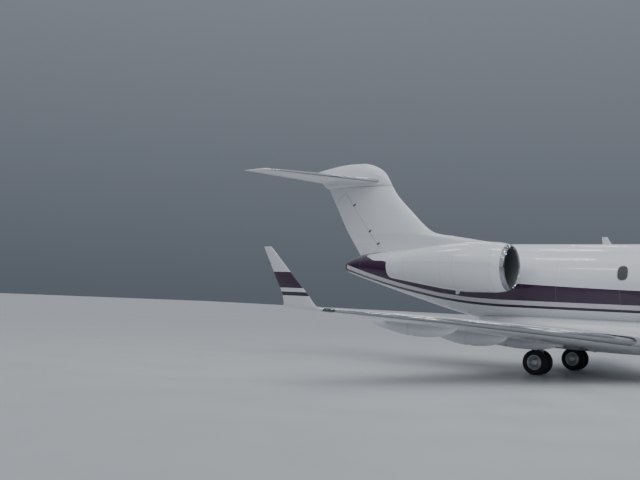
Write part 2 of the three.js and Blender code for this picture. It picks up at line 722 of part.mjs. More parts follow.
function mirrorY(solid) {
  return solid.mirror([0, 1, 0]);
}
function tailplaneAndElevator() {
  const spec = {
    a: elevatorHinge(ELEVATOR.y[0]),
    b: elevatorHinge(ELEVATOR.y[1]),
    noseA: 72,
    noseB: 28,
    chord: 1100,
    pin: 11,
    innerY: 190,
  };
  const [elevator, halfDone] = plainSurface(tailplaneBody(), spec);
  const [, tailplane] = plainSurface(mirrorY(halfDone), spec);
  return { elevator, tailplane };
}

// Cap on the fin, round the tailplane's middle: station, half width, top and bottom
const CAP = [
  [-1560, 12, 6040, 6000],
  [-1400, 55, 6085, 5880],
  [-1150, 92, 6145, 5670],
  [-930, 116, 6185, FIN_TOP + SEAM],
  [-450, 150, 6270, FIN_TOP + SEAM],
  [0, 172, 6310, FIN_TOP + SEAM],
  [450, 178, 6312, FIN_TOP + SEAM],
  [750, 172, 6245, FIN_TOP + SEAM],
  [1050, 152, 6115, FIN_TOP + SEAM],
  [1280, 120, 5950, FIN_TOP + SEAM],
  [1420, 84, 5750, FIN_TOP + SEAM],
  [1530, 40, 5560, FIN_TOP + SEAM],
];
const CAP_SIDES = 12;
const CAP_FOOT = { down: 0.45, across: 0.6 }; // the lower half is fuller than an ellipse
function capRing([x, half, top, bottom]) {
  return range(CAP_SIDES).map((i) => {
    const angle = (2 * Math.PI * (i + 0.5)) / CAP_SIDES;
    const upper = Math.sin(angle) > 0;
    const up = squared(Math.sin(angle), upper ? 1 : CAP_FOOT.down);
    const across = squared(Math.cos(angle), upper ? 1 : CAP_FOOT.across);
    return V(x, half * across, (top + bottom) / 2 + ((top - bottom) / 2) * up);
  });
}
function tailplaneGrown() {
  const half = TAILPLANE[1][0] / 2;
  return loft([-half, 0, half].map((y) => tailplaneRing(y, SEAM)));
}

// Engines: everything in a nacelle is turned about a fore-and-aft line
const ENGINE = { y: 1900, z: 2835 };
const NACELLE_SIDES = 20;
const OUTER_COWL = [
  [6500, 560],
  [6475, 597],
  [6370, 642],
  [6060, 692],
  [5300, 703],
  [4500, 640],
  [4100, 582],
  [3700, 520],
  [3200, 440],
  [2750, 370],
];
const DUCT = [
  [2750, 355],
  [3200, 420],
  [3700, 470],
  [5500, 470],
  [6160, 474],
  [6420, 515],
];
const LIP_X = 6385; // the polished lip is ahead of this
const CORE = [
  [2560, 0],
  [2600, 60],
  [3350, 235],
  [3500, 290],
  [5300, 300],
  [5590, 170],
  [5590, 0],
];
const CORE_SIDES = 16;
const SHAFT_SIDES = 24;
const VANE = { count: 6, aft: 4700, fore: 5000, half: 9, inner: 200, outer: 520 };
const FAN = { x: 5690, tip: 450, root: 140, blades: 12, shaft: 50, shaftAft: 5470, play: 20 };
const SPINNER = [
  [5600, 0],
  [5600, 150],
  [5780, 146],
  [5940, 90],
  [6050, 0],
];
const engineCentre = () => V(0, ENGINE.y, ENGINE.z);

function nacelleParts() {
  const whole = turnedAboutX([...OUTER_COWL, ...DUCT, OUTER_COWL[0]], engineCentre(), NACELLE_SIDES);
  const ahead = (x) => box([x, -FAR, -FAR], [FAR, FAR, FAR]);
  return { lip: whole.intersect(ahead(LIP_X + SEAM)), cowl: whole.subtract(ahead(LIP_X)) };
}
// The port engine's frame, turned about its shaft by a share of a turn
function turnedFrame(share) {
  const place = new THREE.Matrix4().makeTranslation(0, ENGINE.y, ENGINE.z);
  return place.multiply(new THREE.Matrix4().makeRotationX(2 * Math.PI * share));
}
function engineCore() {
  const core = turnedAboutX([...CORE, CORE[0]], engineCentre(), CORE_SIDES);
  // Vanes carry the core in its duct
  const { count, aft, fore, half, inner, outer } = VANE;
  const vanes = range(count)
    .map((i) => box([aft, -half, inner], [fore, half, outer], turnedFrame((i + 0.5) / count)))
    .reduce((all, vane) => all.add(vane));
  const [aftmost, foremost] = [DUCT[0][0], DUCT[DUCT.length - 1][0]];
  const bore = DUCT.map(([x, r]) => [x, r - SEAM]);
  const inside = [[aftmost, 0], ...bore, [foremost, 0], [aftmost, 0]];
  const air = turnedAboutX(inside, engineCentre(), NACELLE_SIDES);
  const seat = engineRod(FAN.shaftAft - FAN.play, FAR, boreRadius(FAN.shaft, SHAFT_SIDES));
  return largest(core.add(vanes.intersect(air)).subtract(seat));
}
function engineRod(from, to, radius) {
  return rod(V(from, ENGINE.y, ENGINE.z), V(to, ENGINE.y, ENGINE.z), radius, radius, SHAFT_SIDES);
}
function fan() {
  let rotor = turnedAboutX([...SPINNER, SPINNER[0]], engineCentre(), CORE_SIDES);
  rotor = rotor.add(engineRod(FAN.shaftAft, SPINNER[0][0] + 1, FAN.shaft));
  const blade = fanBlade();
  for (const i of range(FAN.blades)) rotor = rotor.add(outward(blade, turnedFrame(i / FAN.blades)));
  return rotor;
}
// One blade along +Z: radius, half chord, half thickness and twist at its root and tip
const BLADE = [
  [FAN.root - 20, 78, 8, 0.5],
  [FAN.tip, 82, 3.5, 1.05],
];
function fanBlade() {
  const positions = [];
  for (const [r, chord, thick, twist] of BLADE) {
    const [cos, sin] = [Math.cos(twist), Math.sin(twist)];
    for (const [u, v] of [[-1, 0], [0, 1], [1, 0], [0, -1]]) {
      const [x, y] = [u * chord, v * thick];
      positions.push(FAN.x + x * cos - y * sin, x * sin + y * cos, r);
    }
  }
  const geometry = new THREE.BufferGeometry();
  geometry.setAttribute("position", new THREE.Float32BufferAttribute(positions, 3));
  const sides = range(4).flatMap((j) => {
    const next = (j + 1) % 4;
    return [j, next, next + 4, j, next + 4, j + 4];
  });
  geometry.setIndex([...sides, 0, 2, 1, 0, 3, 2, 4, 5, 6, 4, 6, 7]);
  return geometry;
}

// Pylon between the fuselage and the nacelle: y, leading edge, trailing edge, z and thickness
const PYLON = [
  [300, 5750, 2700, 2850, 250],
  [1700, 5450, 2900, 2850, 190],
];
const PYLON_OVERHANG = 60; // of the room that is kept for the nacelle, behind its tail
function pylon() {
  const body = loft(
    PYLON.map(([y, lead, trail, z, thick]) => foilRing(lead, trail, thick, (x, up) => V(x, y, z + up))),
  );
  const cowl = OUTER_COWL.map(([x, r]) => [x, r + SEAM]).reverse();
  const aftmost = cowl[0][0] - PYLON_OVERHANG;
  const foremost = cowl[cowl.length - 1][0];
  const room = [[aftmost, 0], ...cowl, [foremost, 0], [aftmost, 0]];
  return largest(body.subtract(hullGrown).subtract(turnedAboutX(room, engineCentre(), NACELLE_SIDES)));
}

// Wheels: each pair and its live axle is one body that turns in its leg
const WHEEL_SIDES = 16;
const flatRadius = (radius) => radius * Math.cos(Math.PI / WHEEL_SIDES);
const MAIN = { x: 7150, y: 1550, radius: 337, width: 205, rim: 190, apart: 178, axle: 40 };
const NOSE = { x: NOSE_GEAR_X, y: 0, radius: 228, width: 118, rim: 120, apart: 112, axle: 24 };
// A wheel's form, as shares of its half width and radius, and the height of the tyre's bead
const TYRE = { rimHalf: 0.62, treadHalf: 0.6, shoulder: 0.8, bead: 14 };
const AXLE_SIDES = 16;
const AXLE_BORE_HALF = 80;
function wheelPair({ x, y, radius, width, rim, apart, axle }) {
  const z = flatRadius(radius);
  const wheel = (side) => {
    const at = (share) => side * apart + (share * width) / 2;
    const outboard = [
      [TYRE.treadHalf, radius],
      [1, radius * TYRE.shoulder],
      [1, rim + TYRE.bead],
      [TYRE.rimHalf, rim],
      [TYRE.rimHalf, 0],
    ];
    const inboard = outboard.map(([share, r]) => [-share, r]).reverse();
    const profile = [...inboard, ...outboard, inboard[0]].map(([share, r]) => [at(share), r]);
    return turnedAboutY(profile, V(x, y, z), WHEEL_SIDES);
  };
  return wheel(1).add(wheel(-1)).add(rod(V(x, y - apart, z), V(x, y + apart, z), axle, axle, AXLE_SIDES));
}
function axleBore({ x, y, radius, axle }) {
  const z = flatRadius(radius);
  const bore = boreRadius(axle, AXLE_SIDES);
  return rod(V(x, y - AXLE_BORE_HALF, z), V(x, y + AXLE_BORE_HALF, z), bore, bore, AXLE_SIDES);
}

// Main leg: a vertical oleo with its socket in the wing, a trailing link and a side stay
const MAIN_AXLE_Z = flatRadius(MAIN.radius);
const MAIN_TUBES = {
  slider: [[60, 0, 480], [60, 0, 1100], 62],
  socket: [[60, 0, 690], [60, 0, 1100], 84],
  link: [[60, 0, 520], [0, 0, MAIN_AXLE_Z], 52],
  hub: [[0, -58, MAIN_AXLE_Z], [0, 58, MAIN_AXLE_Z], 78],
  sideStay: [[60, -20, 700], [60, -330, 1000], 26],
};
// The gear door hangs on an arm from the leg's outboard side, above the wheels
const MAIN_PLATES = { doorArm: [[30, 0, 720], [90, 156, 760]] };
const MAIN_DOOR = { aft: -170, fore: 290, inner: 150, outer: 162, low: 690, high: 1000, corner: 60 };
const MAIN_BAY_ROOF = 1010; // the leg goes no higher into the wing
function mainLeg(wing) {
  const { x, y } = MAIN;
  const { aft, fore, inner, outer, low, high, corner } = MAIN_DOOR;
  const door = slab(roundFooted([x + aft, low], [x + fore, high], corner), y + inner, y + outer);
  return largest(
    weldment(MAIN, MAIN_TUBES, MAIN_PLATES)
      .add(door)
      .subtract(axleBore(MAIN))
      .subtract(wing.translate([0, 0, -SEAM]))
      .subtract(wing)
      .subtract(fairingLoft(SEAM))
      .subtract(box([-FAR, -FAR, MAIN_BAY_ROOF], [FAR, FAR, FAR])),
  );
}

// Nose leg: a fixed upper cylinder in the well, and a steered lower strut
const NOSE_SPLIT = 900;
const NOSE_AXLE_Z = flatRadius(NOSE.radius);
const NOSE_PIVOT = { radius: 40, sides: 16, deep: 150, play: 10 };
const ABOVE = NOSE_SPLIT + SEAM;
const ROOF = NOSE_WELL.roof - SEAM;
const NOSE_LEG_TUBES = {
  cylinder: [[0, 0, ABOVE], [0, 0, ROOF], 62],
  collar: [[0, 0, ABOVE], [0, 0, NOSE_SPLIT + 110], 82],
  dragBrace: [[0, 0, 1010], [-270, 0, ROOF - 40], 28],
};
const NOSE_LEG_PLATES = { crossbeam: [[-300, -120, ROOF - 60], [60, 120, ROOF]] };
function noseLeg() {
  const { x, y } = NOSE;
  const { sides, deep, play } = NOSE_PIVOT;
  const bore = boreRadius(NOSE_PIVOT.radius, sides);
  const seat = rod(V(x, y, NOSE_SPLIT), V(x, y, NOSE_SPLIT + deep + play), bore, bore, sides);
  return weldment(NOSE, NOSE_LEG_TUBES, NOSE_LEG_PLATES).subtract(seat);
}
// The torque links fold in front of the piston, between its collar and the axle
const NOSE_STRUT_TUBES = {
  piston: [[0, 0, NOSE_AXLE_Z], [0, 0, NOSE_SPLIT], 42, 16],
  collar: [[0, 0, NOSE_SPLIT - 90], [0, 0, NOSE_SPLIT], 74],
  pivot: [[0, 0, NOSE_SPLIT - 10], [0, 0, NOSE_SPLIT + NOSE_PIVOT.deep], NOSE_PIVOT.radius, NOSE_PIVOT.sides],
  hub: [[0, -44, NOSE_AXLE_Z], [0, 44, NOSE_AXLE_Z], 48],
  upperLink: [[40, 0, 800], [170, 0, 620], 17, 8],
  lowerLink: [[170, 0, 620], [40, 0, 400], 17, 8],
  linkPin: [[170, -34, 620], [170, 34, 620], 20, 8],
};
function noseStrut() {
  return weldment(NOSE, NOSE_STRUT_TUBES).subtract(axleBore(NOSE));
}
// Each nose door hangs on two arms from the well's wall
const NOSE_DOOR = { inset: 20, outer: 4, thick: 18, low: 985, high: 1330, corner: 90 };
const NOSE_ARM = { first: 120, apart: 400, length: 40, low: 1230, high: 1300 };
function noseDoor() {
  const { aft, fore, half } = NOSE_WELL;
  const { inset, outer, thick, corner } = NOSE_DOOR;
  const [foot, top] = [NOSE_DOOR.low, NOSE_DOOR.high];
  const outline = roundFooted([aft + inset, foot], [fore - inset, top], corner);
  let door = slab(outline, half - outer - thick, half - outer);
  for (const x of [aft + NOSE_ARM.first, aft + NOSE_ARM.first + NOSE_ARM.apart]) {
    const low = [x, half - outer - thick, NOSE_ARM.low];
    door = door.add(box(low, [x + NOSE_ARM.length, half - SEAM, NOSE_ARM.high]));
  }
  return door;
}

// Build the airframe
const bellyFairing = largest(fairingLoft(0).subtract(hullGrown));
let fuselage = hull
  .subtract(doorway(DOOR.gap, VESTIBULE_Y))
  .add(doorHingeLugs())
  .subtract(noseWell())
  .subtract(tailRecess());
for (const outline of [WINDSCREEN, SIDE_WINDOW]) {
  fuselage = fuselage.subtract(panePocket(outline)).subtract(mirrorY(panePocket(outline)));
}
add("fuselage", largest(fuselage), WHITE);
add("radome", fuselageLoft([RADOME_X + SEAM, ...RADOME_STATIONS]), WHITE);
add("belly_fairing", bellyFairing, WHITE);
add("entry_door", entryDoor(), WHITE);
addPair("windscreen", pane(WINDSCREEN), GLASS);
addPair("side_window", pane(SIDE_WINDOW), GLASS);
add("tail_exhaust", tailExhaust(), TITANIUM);

// Tail
const { rudder, fin } = finAndRudder();
const { elevator, tailplane } = tailplaneAndElevator();
add("fin", fin, WHITE);
add("rudder", rudder, WHITE);
add("fin_cap", largest(loft(CAP.map(capRing)).subtract(tailplaneGrown())), WHITE);
add("tailplane", tailplane, WHITE);
addPair("elevator", elevator, WHITE);

// Wings
const port = portWing();
addPair("wing", port.wing, WHITE);
addPair("winglet", winglet(), WHITE);
addPair("inboard_flap", port.inner, WHITE);
addPair("outboard_flap", port.outer, WHITE);
addPair("aileron", port.aileron, WHITE);

// Engines
const nacelle = nacelleParts();
addPair("nacelle", nacelle.cowl, WHITE);
addPair("inlet_lip", nacelle.lip, BARE);
addPair("engine_core", engineCore(), TITANIUM);
addPair("fan", fan(), STEEL);
addPair("pylon", pylon(), WHITE);

// Landing gear
addPair("main_leg", mainLeg(port.wing), GEAR);
addPair("main_wheels", wheelPair(MAIN), RUBBER);
add("nose_leg", noseLeg(), GEAR);
add("nose_strut", noseStrut(), GEAR);
add("nose_wheels", wheelPair(NOSE), RUBBER);
addPair("nose_door", noseDoor(), WHITE);

export default jet;
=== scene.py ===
# %% [markdown]
# A business jet parked on its wheels, dressed in Blender. The solid pieces arrive finished in size
# and place, with coarse facets. Each lesson below takes one part of the jet, says what it is on the
# real aircraft, and builds its fine skin and its finish round the solid that it stands for.

# %% Load the solids
import functools
import math

import bmesh
import bpy
from mathutils import Matrix, Vector


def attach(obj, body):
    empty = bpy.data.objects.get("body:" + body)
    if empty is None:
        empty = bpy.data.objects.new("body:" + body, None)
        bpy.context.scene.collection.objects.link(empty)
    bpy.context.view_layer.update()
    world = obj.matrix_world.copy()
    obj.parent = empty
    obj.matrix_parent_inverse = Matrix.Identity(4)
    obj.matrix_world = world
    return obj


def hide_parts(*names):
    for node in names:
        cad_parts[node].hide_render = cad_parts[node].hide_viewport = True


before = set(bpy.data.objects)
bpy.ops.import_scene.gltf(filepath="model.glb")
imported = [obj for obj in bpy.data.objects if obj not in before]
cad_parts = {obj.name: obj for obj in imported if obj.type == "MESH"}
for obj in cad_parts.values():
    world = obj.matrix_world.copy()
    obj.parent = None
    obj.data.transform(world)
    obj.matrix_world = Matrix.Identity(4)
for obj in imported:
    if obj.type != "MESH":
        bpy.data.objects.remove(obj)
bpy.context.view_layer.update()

# %% [markdown]
# A camera can be worked out from a picture once enough points on the object are known in space. Here
# the fin, tailplane, winglet, wing edge and engine pod gave it: it stands low on the jet's right,
# ahead of the wing tip, looks back at the tail, and is tipped a little to one side.

# %% Camera
CAMERA_PLACE = Vector((6.703, -23.751, 1.701))
CAMERA_YAW = 0.609  # to the left of straight across the jet
CAMERA_PITCH = 0.071
CAMERA_ROLL = 0.047
FOCAL_PIXELS = 850.1  # for a picture 640 pixels wide
PICTURE_WIDTH = 640
SENSOR_WIDTH = 36.0


def camera_matrix():
    forward = Vector(
        (
            -math.sin(CAMERA_YAW) * math.cos(CAMERA_PITCH),
            math.cos(CAMERA_YAW) * math.cos(CAMERA_PITCH),
            math.sin(CAMERA_PITCH),
        )
    )
    level = Vector((math.cos(CAMERA_YAW), math.sin(CAMERA_YAW), 0))
    upright = level.cross(forward)
    right = level * math.cos(CAMERA_ROLL) + upright * math.sin(CAMERA_ROLL)
    up = upright * math.cos(CAMERA_ROLL) - level * math.sin(CAMERA_ROLL)
    turn = Matrix((right, up, -forward)).transposed().to_4x4()
    return Matrix.Translation(CAMERA_PLACE) @ turn


scene = bpy.context.scene
camera_data = bpy.data.cameras.new("camera")
camera_data.sensor_width = SENSOR_WIDTH
camera_data.lens = FOCAL_PIXELS * SENSOR_WIDTH / PICTURE_WIDTH
camera_data.clip_end = 400
camera = bpy.data.objects.new("camera", camera_data)
camera.matrix_world = camera_matrix()
scene.collection.objects.link(camera)
scene.camera = camera
print("lens", round(camera_data.lens, 2))

# %% [markdown]
# Glossy paint shows what stands round it, so the light matters as much as the colour. A broad, soft
# light from high on the camera's side does most of the work and falls evenly on the whole floor, and
# a weaker one fills the far side. The sky is darker at the horizon than overhead. Rows of small lamps
# above the jet add the short bright streaks that round skins show indoors.

# %% Light
HORIZON_COLOUR = (0.10, 0.115, 0.14, 1)
ZENITH_COLOUR = (0.40, 0.44, 0.50, 1)
BROAD_LIGHTS = {  # towards the light, its strength and its width in degrees
    "broad_light": ((0.45, -0.75, 1.0), 1.15, 100),
    "counter_light": ((-0.9, 0.9, 0.8), 0.30, 100),
}
LAMP_STATIONS = (-9.0, -4.0, 1.0, 6.0, 11.0)
LAMP_ROWS = (-9.0, -3.0, 3.0, 9.0)
LAMP_HEIGHT = 11.5
LAMP_SIZE = (2.4, 0.14)
LAMP_WATTS = 45.0

world = bpy.data.worlds.new("studio")
world.use_nodes = True
sky = world.node_tree
direction = sky.nodes.new("ShaderNodeTexCoord")
height = sky.nodes.new("ShaderNodeSeparateXYZ")
blend = sky.nodes.new("ShaderNodeMix")
blend.data_type = "RGBA"
horizon_socket, zenith_socket = [socket for socket in blend.inputs if socket.type == "RGBA"]
horizon_socket.default_value = HORIZON_COLOUR
zenith_socket.default_value = ZENITH_COLOUR
blended = next(socket for socket in blend.outputs if socket.type == "RGBA")
sky.links.new(direction.outputs["Generated"], height.inputs[0])
sky.links.new(height.outputs["Z"], blend.inputs["Factor"])
sky.links.new(blended, sky.nodes["Background"].inputs["Color"])
scene.world = world


def new_light(name, kind, energy):
    data = bpy.data.lights.new(name, kind)
    data.energy = energy
    lamp = bpy.data.objects.new(name, data)
    scene.collection.objects.link(lamp)
    return lamp


for name, (towards, strength, degrees) in BROAD_LIGHTS.items():
    light = new_light(name, "SUN", strength)
    light.data.angle = math.radians(degrees)
    light.rotation_euler = Vector(towards).to_track_quat("Z", "Y").to_euler()
for along in LAMP_STATIONS:
    for across in LAMP_ROWS:
        light = new_light("roof_lamp", "AREA", LAMP_WATTS)
        light.data.shape = "RECTANGLE"
        light.data.size, light.data.size_y = LAMP_SIZE
        light.location = (along, across, LAMP_HEIGHT)
print("roof lamps", len(LAMP_STATIONS) * len(LAMP_ROWS))

# %% [markdown]
# Each finish is a Principled shader with a few nodes before it. The same small steps come again and
# again, such as a sum, a noise or a mix of two colours, so they get helpers. Every pattern reads
# Object coordinates, which are metres on the jet, because each piece keeps its place in its mesh.


# %% Shader nodes
class Wires:
    """A material under construction: its node tree, its shader and the wires between them."""

    def __init__(self, name, colour, roughness, metallic=0.0):
        self.material = bpy.data.materials.new(name)
        self.material.use_nodes = True
        self.tree = self.material.node_tree
        self.shader = self.tree.nodes["Principled BSDF"]
        self.shader.inputs["Base Color"].default_value = (*colour, 1)
        self.shader.inputs["Roughness"].default_value = roughness
        self.shader.inputs["Metallic"].default_value = metallic
        self.place = self.node("TexCoord").outputs["Object"]
        split = self.node("SeparateXYZ")
        self.plug(split.inputs[0], self.place)
        self.x, self.y, self.z = split.outputs

    def node(self, kind):
        return self.tree.nodes.new("ShaderNode" + kind)

    def plug(self, socket, value):
        """A wire if the value is another node's output, else the value itself."""
        if isinstance(value, bpy.types.NodeSocket):
            self.tree.links.new(value, socket)
        else:
            socket.default_value = value

    def set(self, name, value):
        self.plug(self.shader.inputs[name], value)

    def wired(self, node, *values):
        """The first output of a node whose first inputs take the values."""
        for socket, value in zip(node.inputs, values):
            self.plug(socket, value)
        return node.outputs[0]

    def math(self, operation, *values):
        node = self.node("Math")
        node.operation = operation
        return self.wired(node, *values)

    def plus(self, a, b):
        return self.math("ADD", a, b)

    def minus(self, a, b):
        return self.math("SUBTRACT", a, b)

    def times(self, a, b):
        return self.math("MULTIPLY", a, b)

    def ramp(self, value, low, high, to_low=0.0, to_high=1.0, kind="SMOOTHSTEP"):
        node = self.node("MapRange")
        node.interpolation_type = kind
        return self.wired(node, value, low, high, to_low, to_high)

    def noise(self, scale, detail):
        node = self.node("TexNoise")
        node.inputs["Scale"].default_value = scale
        node.inputs["Detail"].default_value = detail
        self.plug(node.inputs["Vector"], self.place)
        return node.outputs["Fac"]

    def mix(self, share, below, above):
        """Colour below where share is 0, above where it is 1."""
        node = self.node("Mix")
        node.data_type = "RGBA"
        self.plug(node.inputs["Factor"], share)
        sockets = [socket for socket in node.inputs if socket.type == "RGBA"]
        for socket, colour in zip(sockets, (below, above)):
            wire = isinstance(colour, bpy.types.NodeSocket)
            self.plug(socket, colour if wire else (*colour[:3], 1))
        return next(socket for socket in node.outputs if socket.type == "RGBA")

    def bump(self, height, distance, strength):
        node = self.node("Bump")
        node.inputs["Strength"].default_value = strength
        node.inputs["Distance"].default_value = distance
        self.plug(node.inputs["Height"], height)
        self.set("Normal", node.outputs[0])


# %% [markdown]
# Painted lines are masks: numbers that are 1 on the line and 0 beside it. A band near a height, a
# curve drawn along the jet and the outline of a hatch are enough for the whole aircraft.

# %% Masks and finishes
HATCH_SQUARENESS = 8.0  # 2 would make a hatch an ellipse
SEAM_HALF = 0.0025
SEAM_COLOUR = (0.30, 0.31, 0.33)


class Finish(Wires):
    """A material with patterns drawn on it."""

    def curve(self, value, points, span, heights):
        """Height of a line that is drawn through points in metres, where value lies in a span."""
        (start, end), (low, high) = span, heights
        node = self.node("FloatCurve")
        drawn = node.mapping.curves[0].points
        places = [((x - start) / (end - start), (z - low) / (high - low)) for x, z in points]
        drawn[0].location = places[0]
        drawn[-1].location = places[-1]
        for place in places[1:-1]:
            drawn.new(*place)
        for point in drawn:
            point.handle_type = "AUTO_CLAMPED"
        node.mapping.update()
        self.plug(node.inputs["Value"], self.ramp(value, start, end, kind="LINEAR"))
        return self.plus(self.times(node.outputs[0], high - low), low)

    def near(self, value, middle, half, soft=0.002):
        """1 within half of the middle, and 0 beyond it."""
        away = self.math("ABSOLUTE", self.minus(value, middle))
        return self.ramp(away, half, half + soft, 1.0, 0.0)

    def seam(self, value, place):
        return self.near(value, place, SEAM_HALF)

    def either(self, *masks):
        return functools.reduce(lambda a, b: self.math("MAXIMUM", a, b), masks)

    def both(self, *masks):
        return functools.reduce(self.times, masks)

    def stroke(self, across, along, place, half, middle, reach):
        """A line at a place across it, over a reach to both sides of its middle."""
        return self.both(self.near(across, place, half), self.near(along, middle, reach))

    def joints(self, colour, share, *masks):
        """A colour with joints between panels drawn on it, a share as strong as full lines."""
        return self.mix(self.times(self.either(*masks), share), colour, SEAM_COLOUR)

    def frame_line(self, along, height, half_length, half_height, side):
        """The outline of a rounded hatch on the jet's side; side 1 is left, -1 right and 0 both."""
        x = self.math("DIVIDE", self.minus(self.x, along), half_length)
        z = self.math("DIVIDE", self.minus(self.z, height), half_height)
        x, z = (self.math("POWER", self.math("ABSOLUTE", value), HATCH_SQUARENESS) for value in (x, z))
        size = self.math("POWER", self.plus(x, z), 1 / HATCH_SQUARENESS)
        outline = self.near(size, 1.0, SEAM_HALF / half_height, 0.004)
        if not side:
            return outline
        return self.both(outline, self.ramp(self.times(self.y, side), 0.1, 0.2))


def plain_finish(name, colour, rough, metallic=0.0, grain=12.0, spread=0.12, coat=0.0, relief=0.25):
    """A finish whose colour and gloss drift a little over the surface, as real ones do."""
    finish = Finish(name, colour, rough, metallic)
    drift = finish.noise(grain, 4.0)
    darker = tuple(channel * (1 - spread) for channel in colour)
    lighter = tuple(min(1.0, channel * (1 + spread * 0.5)) for channel in colour)
    finish.set("Base Color", finish.mix(drift, darker, lighter))
    finish.set("Roughness", finish.ramp(drift, 0.3, 0.7, rough * 0.85, min(1.0, rough * 1.2)))
    finish.shader.inputs["Coat Weight"].default_value = coat
    finish.bump(finish.noise(grain * 30, 2.0), 0.0004, relief)
    return finish.material


# %% [markdown]
# The floor is pale, plain and a little glossy, like sealed concrete. It is far larger than the jet, so
# that its edge stays out of every view.

# %% Floor
FLOOR_HALF = 160.0
floor_mesh = bmesh.new()
bmesh.ops.create_grid(floor_mesh, x_segments=1, y_segments=1, size=FLOOR_HALF)
floor_data = bpy.data.meshes.new("floor")
floor_mesh.to_mesh(floor_data)
floor_mesh.free()
floor = bpy.data.objects.new("floor", floor_data)
scene.collection.objects.link(floor)
concrete = plain_finish("pale_floor", (0.56, 0.57, 0.58), 0.45, grain=0.6, spread=0.03)
floor_data.materials.append(concrete)
print("floor", 2 * FLOOR_HALF, "m across")

# %% [markdown]
# An aircraft's surface is a set of skins stretched over ribs. A grid rolled into a tube gives just
# that: one direction of the grid runs round the section, the other along the body, and a short
# function says where each point lies. The ends are closed, so that the piece can be cut like a solid.

# %% Skins
MIDDLE = 8.65  # from the tail cone's tip to the middle of the jet's overall length
SEAM = 0.0004
RUN = 0.008  # round a piece that turns


def at(station, y, z):
    """A point of the jet, from its station: the distance ahead of the tail cone's tip."""
    return Vector((station - MIDDLE, y, z))


def smooth_at(table, column, x):
    """A table's column at x: a smooth line through the rows that never overshoots them."""
    last = len(table) - 1
    if x <= table[0][0]:
        return table[0][column]
    if x >= table[last][0]:
        return table[last][column]
    i = max(k for k in range(last) if table[k][0] <= x)

    def slope(k):
        return (table[k + 1][column] - table[k][column]) / (table[k + 1][0] - table[k][0])

    def tangent(k):
        if k in (0, last):
            return slope(min(k, last - 1))
        before, after = slope(k - 1), slope(k)
        return 0.0 if before * after <= 0 else 2 * before * after / (before + after)

    step = table[i + 1][0] - table[i][0]
    t = (x - table[i][0]) / step
    low = (1 + 2 * t) * (1 - t) ** 2 * table[i][column] + t * (1 - t) ** 2 * step * tangent(i)
    high = t**2 * (3 - 2 * t) * table[i + 1][column] + t**2 * (t - 1) * step * tangent(i + 1)
    return low + high


def straight_at(table, column, x):
    """A table's column at x, on straight lines between the rows and beyond them."""
    rows = [k for k in range(len(table) - 1) if table[k][0] <= x]
    i = rows[-1] if rows else 0
    low, high = table[i], table[i + 1]
    return low[column] + (high[column] - low[column]) * (x - low[0]) / (high[0] - low[0])


def row_at(table, x, look=smooth_at):
    """All columns of a table at x, except the first."""
    return [look(table, column, x) for column in range(1, len(table[0]))]


def spread(low, high, steps):
    return [low + (high - low) * i / steps for i in range(steps + 1)]


def squared(value, power):
    """A sine or cosine that makes a squarer section than an ellipse, for a power below one."""
    return math.copysign(abs(value) ** power, value)


def skin(around, stops, ring):
    """A closed tube through a ring at each stop; ring(stop, share of the way round) gives a point."""
    bm = bmesh.new()
    steps = len(stops) - 1
    bmesh.ops.create_grid(bm, x_segments=around, y_segments=steps, size=0.5)
    for vert in bm.verts:
        vert.co = ring(stops[round((vert.co.y + 0.5) * steps)], vert.co.x + 0.5)
    bmesh.ops.remove_doubles(bm, verts=bm.verts, dist=1e-5)
    bmesh.ops.holes_fill(bm, edges=[edge for edge in bm.edges if edge.is_boundary])
    bmesh.ops.recalc_face_normals(bm, faces=bm.faces)
    return bm


# %% [markdown]
# Openings, gaps and joints are cut into the skins with simple tools, such as boxes and rods. A cut
# uses its tool up. It can leave slivers beside the main body, and these are cleared away.


# %% Cutting tools
def piece(bm, name, *materials):
    mesh = bpy.data.meshes.new(name)
    bm.to_mesh(mesh)
    bm.free()
    obj = bpy.data.objects.new(name, mesh)
    scene.collection.objects.link(obj)
    for material in materials:
        mesh.materials.append(material)
    return obj


def box_mesh(low, high, matrix=None):
    bm = bmesh.new()
    low, high = Vector(low), Vector(high)
    place = Matrix.Translation((low + high) / 2) @ Matrix.Diagonal((*(high - low), 1))
    bmesh.ops.create_cube(bm, size=1, matrix=(matrix or Matrix()) @ place)
    return bm


def box_tool(low, high, matrix=None):
    return piece(box_mesh(low, high, matrix), "tool")


def add_rod(bm, a, b, radius, end_radius=None, sides=28):
    a, b = Vector(a), Vector(b)
    turn = (b - a).to_track_quat("Z", "Y").to_matrix().to_4x4()
    bmesh.ops.create_cone(
        bm,
        cap_ends=True,
        segments=sides,
        radius1=radius,
        radius2=radius if end_radius is None else end_radius,
        depth=(b - a).length,
        matrix=Matrix.Translation((a + b) / 2) @ turn,
    )


def rod_tool(a, b, radius, end_radius=None, sides=48):
    bm = bmesh.new()
    add_rod(bm, a, b, radius, end_radius, sides)
    return piece(bm, "tool")


OPERATIONS = {"+": "UNION", "-": "DIFFERENCE", "&": "INTERSECT"}


def carve(obj, *steps, keep=()):
    """Joins (+), cuts (-) or keeps what is common (&) with each tool, which is then used up."""
    for sign, tool in steps:
        modifier = obj.modifiers.new(sign, "BOOLEAN")
        modifier.operation = OPERATIONS[sign]
        modifier.object = tool
        modifier.solver = "MANIFOLD"
    slots = len(obj.data.materials)
    graph = bpy.context.evaluated_depsgraph_get()
    mesh = bpy.data.meshes.new_from_object(obj.evaluated_get(graph))
    for face in mesh.polygons:
        if face.material_index >= slots:
            face.material_index = 0
    while len(mesh.materials) > slots:
        mesh.materials.pop()
    obj.modifiers.clear()
    obj.data = mesh
    for sign, tool in steps:
        if tool not in keep:
            bpy.data.objects.remove(tool)
    return obj


